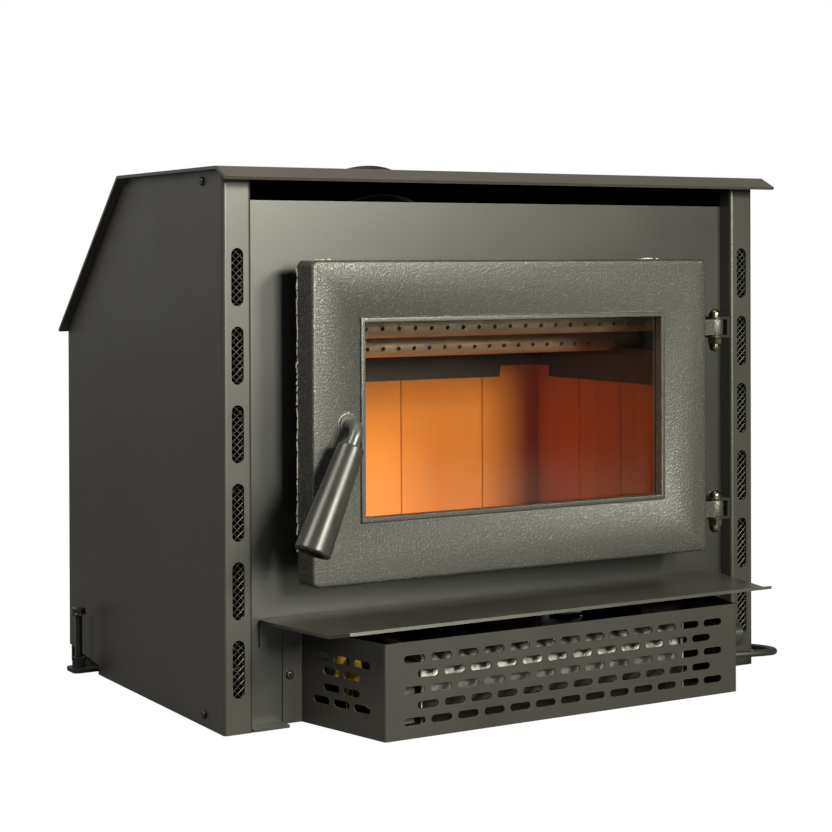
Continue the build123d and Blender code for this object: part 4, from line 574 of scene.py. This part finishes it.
# %% Assign the finishes
finishes = {
    casing_paint: ["base_plate", "right_side_panel", "left_side_panel", "rear_panel",
                   "roof_angles"],
    roof_paint: ["top_cover"],
    plate_paint: ["front_plate"],
    shelf_paint: ["ash_shelf"],
    box_paint: ["blower_box", "blower_tray"],
    bracket_paint: ["hinge_brackets", "levelling_brackets"],
    door_iron: ["door_frame"],
    firebox_steel: ["door_seat", "firebox_floor", "firebox_walls", "firebox_top", "firebox_slope",
                    "flue_collar", "air_slide_guides"],
    retainer_steel: ["brick_retainers"],
    tube_steel: ["front_air_tube", "rear_air_tube"],
    lamination_steel: ["motor_rotor", "motor_stack", "latch_cam"],
    firebrick: ["rear_firebricks", "side_firebricks", "floor_firebricks"],
    baffle_fibre: ["baffle_board"],
    strand_steel: ["stile_mesh"],
    bright_steel: ["air_control_rod", "glass_clips", "grip_screw", "latch_nut", "blower_shaft"],
    bronze_steel: ["hinge_bolts", "hinge_cap_nuts"],
    dark_steel: ["casing_screws", "right_levelling_bolt", "left_levelling_bolt"],
    galvanised: ["firebox_supports", "air_slide", "scroll_housing", "blower_wheel",
                 "blower_end_plates"],
    shaft_steel: ["handle_shaft", "handle_collars"],
    grip_phenolic: ["handle_grip"],
    knob_plastic: ["speed_control", "speed_knob"],
    cord_rubber: ["power_cord", "cord_coil", "strain_relief"],
    plug_rubber: ["power_plug"],
    yellow_plastic: ["wire_nuts"],
    copper_wire: ["motor_coil"],
    rope_fibre: ["door_rope"],
    tape_fibre: ["glass_gasket"],
    window_glass: ["door_glass"],
}
dressed = set()
for finish, names in finishes.items():
    for name in names:
        materials = nodes[name].data.materials
        materials.clear()
        materials.append(finish)
        dressed.add(name)
print("nodes with a finish:", len(dressed), "missing:", sorted(set(nodes) - dressed))

# %% [markdown]
# ## Mains lead
# The lead leaves the blower box through its relief, bends round the stile, drops to the floor and
# runs back to a coil beside the casing, wound in on the floor and out again on top. It is one NURBS
# spline through the chosen route and the coil's formula, because a rubber lead has no corners.

# %% Route of the lead
LEAD_RADIUS = 3.5
relief_out = Vector((0.9718322643, -0.2356736091, 0.0))
relief_start = Vector((226.0404165444, -240.6900641404, 24.0))
relief_end = relief_start + relief_out * 28.0
coil_middle = Vector((385.0, -12.0))
coil_inner, coil_turns, coil_pitch = 28.0, 2.75, 7.7
coil_outer = coil_inner + coil_turns * coil_pitch
on_floor = LEAD_RADIUS + 0.1
entry = coil_middle.x - coil_outer


def coil_point(angle):
    """Point of the coil at an angle from its start, as in the part's source."""
    inward, rate = coil_turns * 2 * math.pi, coil_pitch / (2 * math.pi)
    if angle <= inward:
        radius, height = coil_outer - rate * angle, 0.0
    elif angle >= inward + math.pi:
        radius, height = coil_inner + rate * (angle - inward - math.pi), 1.0
    else:
        turned = angle - inward
        radius, height = coil_inner - rate * math.sin(turned), (1 - math.cos(turned)) / 2
    direction = math.pi - angle
    return Vector((coil_middle.x + radius * math.cos(direction),
                   coil_middle.y + radius * math.sin(direction), on_floor + coil_pitch * height))


route = [relief_end, relief_end + relief_out * 29.5, Vector((314.0, -243.0, 20.5)),
         Vector((327.5, -211.0, 17.0)), Vector((329.0, -166.0, 12.0)), Vector((331.5, -117.0, 6.2)),
         Vector((entry, -68.0, on_floor)), Vector((entry, -19.0, on_floor))]
whole = (2 * coil_turns + 0.5) * 2 * math.pi
steps = 16 * 6
route += [coil_point(whole * index / steps) for index in range(steps + 1)]
last = route[-1]
lead_end = last + Vector((0.0, 34.0, 0.0))
route += [last + Vector((0.0, 17.0, 0.0)), lead_end]

# %% Lead as one spline
def round_curve(name, points, radius, finish, steps, roundness):
    """Curve of one open NURBS spline with a round section, from millimetres."""
    curve = bpy.data.curves.new(name, "CURVE")
    curve.dimensions = "3D"
    spline = curve.splines.new("NURBS")
    spline.points.add(len(points) - 1)
    for target, source in zip(spline.points, points):
        target.co = (*(Vector(source) * MM), 1.0)
    spline.order_u = 3
    spline.use_endpoint_u = True
    spline.resolution_u = steps
    curve.bevel_depth = radius * MM
    curve.bevel_resolution = roundness
    curve.use_fill_caps = True
    curve.materials.append(finish)
    return curve


def curve_mesh(name, curve):
    """Mesh of a curve."""
    holder = bpy.data.objects.new(name, curve)
    mesh = bpy.data.meshes.new_from_object(holder)
    mesh.name = name
    bpy.data.objects.remove(holder)
    return mesh


lead_curve = round_curve("mains_lead", route, LEAD_RADIUS, cord_rubber, 6, 5)
lead = new_object("mains_lead", lead_curve)
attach(lead, "casing")
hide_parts("power_cord", "cord_coil")
print("lead through", len(route), "points")

# %% [markdown]
# ### Plug and strain relief
# The plug is moulded round its lead: a bevelled block with finger ridges, two flat blades and a
# round earth pin with a domed end. The relief is a tapered sleeve cut by rings so that it can bend.

# %% Plug
def round_plug():
    """Neck, body and finger ridges of the plug."""
    shape = bmesh.new()
    heading, low = lead_end.copy(), 0.1
    neck_end = heading + Vector((0, 12, 0))
    for vertex in bar(shape, heading, neck_end, 4.7, 7.0, sides=32):
        vertex.co.z = max(vertex.co.z, low)
    x, y0 = heading.x, heading.y + 11.5
    body = slab(shape, (x - 13.5, y0, low), (x + 13.5, y0 + 36, low + 22))
    edges = {edge for vertex in body for edge in vertex.link_edges}
    bevel(shape, edges, 4.0, segments=5)
    ridges = []
    for index in range(5):
        y = y0 + 8 + index * 4.2
        for side in (-1, 1):
            rib = slab(shape, (x + side * 13.5 - 0.6, y, 4), (x + side * 13.5 + 0.6, y + 1.9, 18))
            ridges += [edge for vertex in rib for edge in vertex.link_edges]
    bevel(shape, set(ridges), 0.45, segments=2)
    return shape


plug = piece("plug_body", round_plug(), plug_rubber, "casing", ["power_plug"])
pins = bmesh.new()
face_y = lead_end.y + 11.5 + 35.5
for side in (-6.35, 6.35):
    x = lead_end.x + side
    blade = slab(pins, (x - 0.75, face_y, 10.9), (x + 0.75, face_y + 16.3, 17.25))
    tip = [edge for vertex in blade if vertex.co.y > face_y + 9 for edge in vertex.link_edges]
    bevel(pins, set(tip), 0.35, segments=2)
pin = bar(pins, (lead_end.x, face_y, 5.1), (lead_end.x, face_y + 17.8, 5.1), 2.4, sides=20)
rim = {edge for vertex in pin if vertex.co.y > face_y + 9 for edge in vertex.link_edges}
bevel(pins, [edge for edge in rim if all(v.co.y > face_y + 9 for v in edge.verts)], 1.4, 4)
plug_pins = piece("plug_pins", pins, bright_steel, "casing")

# %% Strain relief
def ringed_relief():
    """Flange, neck and bending rings of the relief."""
    shape = bmesh.new()
    out = relief_out
    bar(shape, relief_start - out * 5.2, relief_start + out, 5.5, sides=32)
    flange = bar(shape, relief_start, relief_start + out * 2.5, 8.0, sides=40)
    bevel(shape, sharp_edges(flange), 0.7, 3)
    bar(shape, relief_start - out * 5.1, relief_start - out * 1.6, 8.0, sides=40)
    bar(shape, relief_start + out * 2.0, relief_end, 5.0, 4.2, sides=32)
    for index in range(6):
        start = relief_start + out * (4.2 + index * 4.0)
        radius = 6.1 - index * 0.28
        ring = bar(shape, start, start + out * 2.4, radius, radius - 0.15, sides=32)
        bevel(shape, sharp_edges(ring), 0.45, 2)
    return shape


piece("lead_relief", ringed_relief(), cord_rubber, "casing", ["strain_relief"])

# %% [markdown]
# ## Cast door
# One casting: a flat border, a face that dishes back to a raised rim round the glass, a pocket for
# the pane and a groove for the rope behind. Its section is the same on all four sides, so the shape
# starts from a rectangle whose edges are extruded again and again, each new ring moved to its own
# set-in. The mitre lines at the corners stay, softened, as a pattern maker leaves them.

# %% Door sizes
DOOR = (-244.7, 218.9, 135.4, 440.4)  # left, right, bottom and top edge
WINDOW = (55.4, 49.7, 56.8, 54.1)  # width of the frame on those four sides
FRONT, BACK, GLASS_FACE = -244.0, -215.0, -229.0
BORDER, DISH_DEPTH, DISH_STEPS = 13.0, 8.5, 14
RIM_FACE = FRONT + DISH_DEPTH - 2.5
GROOVE_OUTER, GROOVE_INNER, GROOVE_FLOOR = 12.5, 24.5, BACK - 7.0
HINGE_X, HINGE_Y, HINGE_LEVELS = 242.7, -227.0, (177.1, 368.4)
HANDLE_X, HANDLE_Z = -206.5, 286.9
print("door", round(DOOR[1] - DOOR[0], 1), "by", round(DOOR[3] - DOOR[2], 1), "mm")


# %% Rings of the door's section
def set_in(share, extra=0.0):
    """Set-in of each side (left, right, bottom, top) at a share of the dished width."""
    return [BORDER + share * (width - BORDER) + extra for width in WINDOW]


def ring_corners(insets, y):
    """Corners of a rectangle inside the door, in order round it."""
    left, right, bottom, top = insets
    x0, x1, z0, z1 = DOOR[0] + left, DOOR[1] - right, DOOR[2] + bottom, DOOR[3] - top
    return [Vector((x0, y, z0)), Vector((x1, y, z0)), Vector((x1, y, z1)), Vector((x0, y, z1))]


def extrude_ring(shape, loop, insets, y):
    """Extrude a loop of four edges and move its corners to the next rectangle."""
    made = bmesh.ops.extrude_edge_only(shape, edges=loop)["geom"]
    corners = [item for item in made if isinstance(item, bmesh.types.BMVert)]
    targets = ring_corners(insets, y)
    middle = sum((corner.co for corner in corners), Vector()) / 4
    order = {(False, False): 0, (True, False): 1, (True, True): 2, (False, True): 3}
    for corner in corners:
        key = (corner.co.x > middle.x, corner.co.z > middle.z)
        corner.co = targets[order[key]]
    return [item for item in made if isinstance(item, bmesh.types.BMEdge)
            and all(vertex in corners for vertex in item.verts)]


def door_section():
    """Set-ins and depth of each ring, from the outer edge round to the groove."""
    rings = [([0.8] * 4, FRONT), ([BORDER] * 4, FRONT)]
    for index in range(1, DISH_STEPS + 1):
        share = index / DISH_STEPS
        rings.append((set_in(share), FRONT + DISH_DEPTH * (1 - math.cos(share * math.pi / 2))))
    rings += [(set_in(1, 0.2), RIM_FACE), (set_in(1, 5.0), RIM_FACE), (set_in(1, 5.0), GLASS_FACE),
              (set_in(1, -3.0), GLASS_FACE), (set_in(1, -3.0), BACK)]
    rings += [([GROOVE_INNER] * 4, BACK), ([GROOVE_INNER] * 4, GROOVE_FLOOR),
              ([GROOVE_OUTER] * 4, GROOVE_FLOOR), ([GROOVE_OUTER] * 4, BACK)]
    return rings


def folded_edges(shape, depth, angle):
    """Edges that lie at a depth and fold by more than an angle."""
    return [edge for edge in shape.edges
            if all(abs(vertex.co.y - depth) < 0.01 for vertex in edge.verts)
            and len(edge.link_faces) == 2 and edge.calc_face_angle(0) > angle]


def is_outer_corner(edge):
    """Whether an edge runs from front to back at one of the door's four corners."""
    a, b = (vertex.co for vertex in edge.verts)
    near = [min(abs(v.x - DOOR[0]), abs(v.x - DOOR[1])) < 2
            and min(abs(v.z - DOOR[2]), abs(v.z - DOOR[3])) < 2 for v in (a, b)]
    return all(near) and abs(a.y - b.y) > 10


def cast_door():
    """Casting without its ears: rings extruded, closed to the first, then rounded."""
    shape = bmesh.new()
    first = [shape.verts.new(corner) for corner in ring_corners([0] * 4, BACK)]
    start = [shape.edges.new((first[index], first[(index + 1) % 4])) for index in range(4)]
    loop = start
    for insets, y in door_section():
        loop = extrude_ring(shape, loop, insets, y)
    bmesh.ops.bridge_loops(shape, edges=loop + start)
    bevel(shape, [edge for edge in shape.edges if is_outer_corner(edge)], 7.0, 6)
    bevel(shape, folded_edges(shape, FRONT, 1.0), 2.4, 4)
    bevel(shape, folded_edges(shape, RIM_FACE, 0.8), 1.1, 4)
    return shape


# %% Door with its ears and boss
door_shape = cast_door()
for level in HINGE_LEVELS:
    low, high = level - 8.0, level + 8.0
    slab(door_shape, (214.0, -234.0, low), (HINGE_X, -220.0, high))
    knuckle = bar(door_shape, (HINGE_X, HINGE_Y, low), (HINGE_X, HINGE_Y, high), 9.0, sides=40)
    bevel(door_shape, rim_edges(knuckle, 2), 0.5, 2)
boss = bar(door_shape, (HANDLE_X, FRONT, HANDLE_Z), (HANDLE_X, FRONT + 9, HANDLE_Z), 11.5, sides=40)
front_rim = rim_edges([vertex for vertex in boss if abs(vertex.co.y - FRONT) < 0.01], 1)
bevel(door_shape, front_rim, 0.8, 3)
piece("cast_door", door_shape, door_iron, "door", ["door_frame"], sharp=28)

# %% [markdown]
# ## Expanded metal behind the slots
# Expanded metal is slit and pulled, so its strands are thin bars on edge that meet in knots. A grid
# turned by 45 degrees and stretched has the same diamonds, and the wireframe operator gives them
# depth. Each slot gets its own patch, whose edge the stile hides.

# %% Expanded metal
SLOT_X, FIRST_SLOT, SLOT_PITCH, SLOTS = 300.2, 60.4, 72.9, 6
CELL_X, CELL_Z, STRAND = 7.2, 6.6, 0.75


def strand_patch(middle_x, middle_z, shape):
    """Net of strands behind one slot."""
    patch = bmesh.new()
    stand = Matrix.Rotation(math.radians(90), 4, "X")
    diamond = Matrix.Rotation(math.radians(45), 4, "Y")
    stretch = Matrix.Diagonal((CELL_X / math.sqrt(2), 1, CELL_Z / math.sqrt(2), 1))
    bmesh.ops.create_grid(patch, x_segments=11, y_segments=11, size=5.5,
                          matrix=stretch @ diamond @ stand)
    hidden = [face for face in patch.faces if abs(face.calc_center_median().x) > 8.5
              or abs(face.calc_center_median().z) > 29]
    bmesh.ops.delete(patch, geom=hidden, context="FACES")
    bmesh.ops.wireframe(patch, faces=patch.faces, thickness=STRAND, offset=0.0, use_replace=True,
                        use_boundary=True, use_even_offset=True)
    bmesh.ops.scale(patch, vec=(1, 1.5, 1), verts=patch.verts)
    bmesh.ops.translate(patch, vec=(middle_x, -199.25, middle_z), verts=patch.verts)
    copy = bpy.data.meshes.new("patch")
    patch.to_mesh(copy)
    patch.free()
    shape.from_mesh(copy)
    bpy.data.meshes.remove(copy)


for label, sign in (("left", -1), ("right", 1)):
    strip = bmesh.new()
    for index in range(SLOTS):
        strand_patch(sign * SLOT_X, FIRST_SLOT + index * SLOT_PITCH, strip)
    stands = ["stile_mesh"] if sign > 0 else []
    piece(f"{label}_expanded_metal", strip, strand_steel, "casing", stands, sharp=40)

# %% [markdown]
# ## Fibre rope
# The rope is a round tube in the door's groove. It is swept from a circle round the rectangle of
# its route, and gets its knit from the material.

# %% Rope
ROPE_RADIUS = 5.7


def rope_ring():
    """Tube along the middle of the groove, with its corners turned by a radius."""
    curve = bpy.data.curves.new("rope_route", "CURVE")
    curve.dimensions = "3D"
    route_spline = curve.splines.new("POLY")
    radius, points = 9.0, []
    corners = ring_corners([(GROOVE_OUTER + GROOVE_INNER) / 2] * 4, GROOVE_FLOOR + ROPE_RADIUS)
    centres = [corner + Vector((dx * radius, 0, dz * radius)) for corner, (dx, dz)
               in zip(corners, ((1, 1), (-1, 1), (-1, -1), (1, -1)))]
    for index, centre in enumerate(centres):
        for step in range(7):
            angle = math.radians(180 + index * 90 + step * 15)
            points.append(centre + Vector((math.cos(angle), 0, math.sin(angle))) * radius)
    route_spline.points.add(len(points) - 1)
    for target, source in zip(route_spline.points, points):
        target.co = (*source, 1.0)
    route_spline.use_cyclic_u = True
    curve.bevel_depth = ROPE_RADIUS
    curve.bevel_resolution = 5
    made = curve_mesh("rope_route", curve)
    shape = bmesh.new()
    shape.from_mesh(made)
    bpy.data.meshes.remove(made)
    return shape


piece("fibre_rope", rope_ring(), rope_fibre, "door", ["door_rope"], sharp=60)

# %% [markdown]
# ### Frayed strands
# Rope pressed out between door and plate frays into short bright fibres along the casting's back
# edge. They are thin tapered bars laid end over end, each a little askew by a seeded random number.

# %% Frayed strands
def frayed_run(shape, start, end, generator):
    """Short fibres along a line on the back edge of the casting."""
    start, end = Vector(start), Vector(end)
    along = (end - start).normalized()
    travelled = 0.0
    while travelled < (end - start).length:
        length = generator.uniform(4.0, 9.0)
        skew = [Vector([generator.uniform(-0.8, 0.8) for _ in range(3)]) for _ in range(2)]
        here = start + along * travelled
        bar(shape, here + skew[0], here + along * length + skew[1], 0.85, 0.35, sides=6)
        travelled += length * generator.uniform(0.6, 1.4)


generator = random.Random(7)
fray = bmesh.new()
side, over, behind = DOOR[0] - 0.2, DOOR[3] + 0.2, BACK + 0.1
frayed_run(fray, (side, behind, 168.0), (side, behind, 426.0), generator)
frayed_run(fray, (-226.0, behind, over), (-208.0, behind, over), generator)
frayed_run(fray, (152.0, behind, over), (176.0, behind, over), generator)
piece("frayed_rope", fray, glass_fibre, "door", sharp=60)

# %% [markdown]
# ## Threads on the levelling bolts
# A thread is a triangle carried round and up at once. Spin does that in one call when it is given a
# rise, so the thread is one strip of faces wound round the core.

# %% Levelling bolts
BOLT_X, BOLT_Y = 331.0, 132.0


def levelling_bolt(sign):
    """Core, thread, flange and hexagon of one bolt."""
    shape = bmesh.new()
    x, y = sign * BOLT_X, BOLT_Y
    bar(shape, (x, y, 1.0), (x, y, 64.0), 3.45, sides=24)
    pitch, turns, low, steps_a_turn = 1.25, 48, 2.0, 16
    tooth = [(3.4, -0.56), (4.0, -0.12), (4.0, 0.12), (3.4, 0.56)]
    verts = [shape.verts.new((x + radius, y, low + rise)) for radius, rise in tooth]
    edges = [shape.edges.new(pair) for pair in zip(verts, verts[1:])]
    bmesh.ops.spin(shape, geom=verts + edges, cent=(x, y, 0), axis=(0, 0, 1),
                   dvec=(0, 0, pitch / steps_a_turn), angle=math.radians(360 * turns),
                   steps=steps_a_turn * turns)
    flange = bar(shape, (x, y, 63.5), (x, y, 65.4), 8.5, 8.0, sides=40)
    hexagon = bar(shape, (x, y, 65.0), (x, y, 70.5), 7.5, sides=6)
    bevel(shape, sharp_edges(list(flange) + list(hexagon), 0.8), 0.35, 2)
    return shape


for label, sign in (("left", -1), ("right", 1)):
    piece(f"{label}_threaded_bolt", levelling_bolt(sign), dark_steel, f"{label}_leveller",
          [f"{label}_levelling_bolt"], sharp=30)

# %% [markdown]
# ## Wiring of the blower
# Through the end slots of the box one sees two yellow connectors and the motor's red and black
# wires. Each wire is a short curve with a round section, laid between the motor and them.

# %% Blower wiring
def wire(name, finish, points, radius):
    """Round wire along points in millimetres."""
    mesh = curve_mesh(name, round_curve(name, points, radius, finish, 8, 3))
    obj = new_object(name, mesh)
    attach(obj, "casing")
    print(name, len(mesh.polygons), "faces")


wire("red_wire", red_insulation, [(-195, -236, 41), (-196, -238, 33), (-192, -252, 22),
     (-184, -262, 16), (-172, -262, 14), (-170, -258, 20)], 1.3)
wire("black_wire_a", cord_rubber, [(-198, -236, 41), (-202, -232, 28), (-196, -222, 14),
     (-170, -212, 8), (-100, -207, 5), (0, -206, 4.5), (120, -212, 4.5), (190, -235, 8),
     (205, -262, 24), (206, -270, 44)], 1.4)
wire("black_wire_b", cord_rubber, [(-200, -216, 41), (-203, -212, 26), (-196, -208, 10),
     (-120, -202, 4.5), (60, -201, 4.5), (180, -215, 6), (214, -236, 18), (219, -239, 24)], 1.4)

# %% [markdown]
# ## Floor, light and camera
# The photograph is a product shot on white, taken in a dim room. Floor and world are white for the
# camera and straight through glass. In reflections the world is white only behind the object, where
# the backdrop stands, and dim towards the camera, so the front keeps its depth. To all other rays
# both are dim, so the floor keeps the object's shadow.

# %% Floor and world
def backdrop_mask(tree, rays, share):
    """White for the camera and straight through glass, and the given share in reflections."""
    straight = math_node(tree, "SUBTRACT", 1.0, rays.outputs["Glossy Depth"], clamp=True)
    through = math_node(tree, "MULTIPLY", rays.outputs["Is Transmission Ray"], straight)
    mirrored = math_node(tree, "MULTIPLY", rays.outputs["Is Glossy Ray"], share)
    seen = math_node(tree, "MAXIMUM", rays.outputs["Is Camera Ray"], through)
    return math_node(tree, "MAXIMUM", seen, mirrored)


ground_half = 6000.0
ground = bmesh.new()
bmesh.ops.create_grid(ground, x_segments=1, y_segments=1, size=ground_half)
floor_material, tree = new_material("white_floor")
matte = feed(tree, tree.nodes["Principled BSDF"], Base_Color=(0.16, 0.16, 0.16, 1.0),
             Roughness=0.9, Specular_IOR_Level=0.1)
glow = add(tree, "Emission", Color=(1.0, 1.0, 1.0, 1.0), Strength=1.05)
seen = math_node(tree, "MULTIPLY", backdrop_mask(tree, add(tree, "LightPath"), 0.06), 0.95)
choose_shader(tree, seen, matte, glow, "Material Output")
floor_object = piece("studio_floor", ground, floor_material, "casing", outward=False)
floor_object.parent = None

world = bpy.data.worlds.new("studio")
bpy.context.scene.world = world
world.use_nodes = True
tree = world.node_tree
rays = add(tree, "LightPath")
dimmer = math_node(tree, "MULTIPLY", rays.outputs["Is Glossy Ray"], 0.07)
room = feed(tree, tree.nodes["Background"], Color=(1.0, 0.975, 0.89, 1.0),
            Strength=math_node(tree, "SUBTRACT", 0.10, dimmer))
white = add(tree, "Background", Color=(1.0, 1.0, 1.0, 1.0))
toward = add(tree, "SeparateXYZ", Vector=add(tree, "NewGeometry").outputs["Incoming"])
behind = math_node(tree, "MULTIPLY", toward.outputs["Y"], -1.6)
behind = math_node(tree, "SUBTRACT", behind, 0.55, clamp=True)
higher = math_node(tree, "MULTIPLY", toward.outputs["Z"], -1.0)
higher = math_node(tree, "ADD", higher, 0.45, clamp=True)
seen = backdrop_mask(tree, rays, math_node(tree, "MULTIPLY", behind, higher))
choose_shader(tree, seen, room, white, "World Output")
print("backdrop ready, floor", ground_half / 500, "m wide")


# %% [markdown]
# ### Soft boxes
# The key light stands low in front and lights the bricks through the glass. The box on the right is
# the one whose sheen falls from the plate's upper left corner. A large one lights the left side,
# and one overhead fills. Their yellowish tints give the greens and browns of the photographed grey.

# %% Soft boxes
def soft_box(name, place, target, width, height, power, colour=(1.0, 1.0, 1.0)):
    """Add an area light at a place, turned to a target."""
    lamp = bpy.data.lights.new(name, "AREA")
    lamp.shape = "RECTANGLE"
    lamp.size, lamp.size_y = width, height
    lamp.energy = power
    lamp.color = colour
    holder = new_object(name, lamp)
    holder.location = place
    holder.rotation_euler = (Vector(target) - Vector(place)).to_track_quat("-Z", "Y").to_euler()
    print(name, power, "W")


soft_box("front_box", (-0.05, -2.4, 0.85), (0, -0.2, 0.27), 0.45, 0.5, 57.0, (1.0, 0.985, 0.86))
soft_box("right_box", (0.70, -2.3, 1.17), (-0.1, -0.2, 0.35), 0.42, 0.36, 40.0, (1.0, 0.99, 0.80))
soft_box("left_box", (-2.3, -0.4, 2.0), (-0.3, 0, 0.5), 1.2, 1.2, 48.0, (1.0, 0.95, 0.84))
soft_box("top_box", (-0.3, -0.4, 2.3), (0, 0, 0.3), 1.8, 1.4, 14.0)

# %% [markdown]
# ### Camera
# The camera was solved from the casing's edges in the photograph: its place, a turn of 30.4 degrees
# to the right, almost level, and a lens whose centre looks above the middle of the picture, which a
# vertical shift gives without bending the uprights.

# %% Camera
yaw, pitch, roll = math.radians(30.43), math.radians(0.43), math.radians(-0.194)
ahead = Vector((math.sin(yaw) * math.cos(pitch), math.cos(yaw) * math.cos(pitch), -math.sin(pitch)))
flat_right = Vector((math.cos(yaw), -math.sin(yaw), 0.0))
flat_up = flat_right.cross(ahead)
right = flat_right * math.cos(roll) + flat_up * math.sin(roll)
upward = flat_up * math.cos(roll) - flat_right * math.sin(roll)
lens = bpy.data.cameras.new("photo_view")
lens.sensor_width = 36.0
lens.lens = 84.55
lens.shift_y = -0.1688
camera = new_object("photo_view", lens)
turn = Matrix((right, upward, -ahead)).transposed().to_4x4()
camera.matrix_world = Matrix.Translation((-1.0744, -1.8470, 0.4393)) @ turn
bpy.context.scene.camera = camera
bpy.context.scene.view_settings.view_transform = "Standard"
print("camera at", tuple(round(value, 3) for value in camera.location))
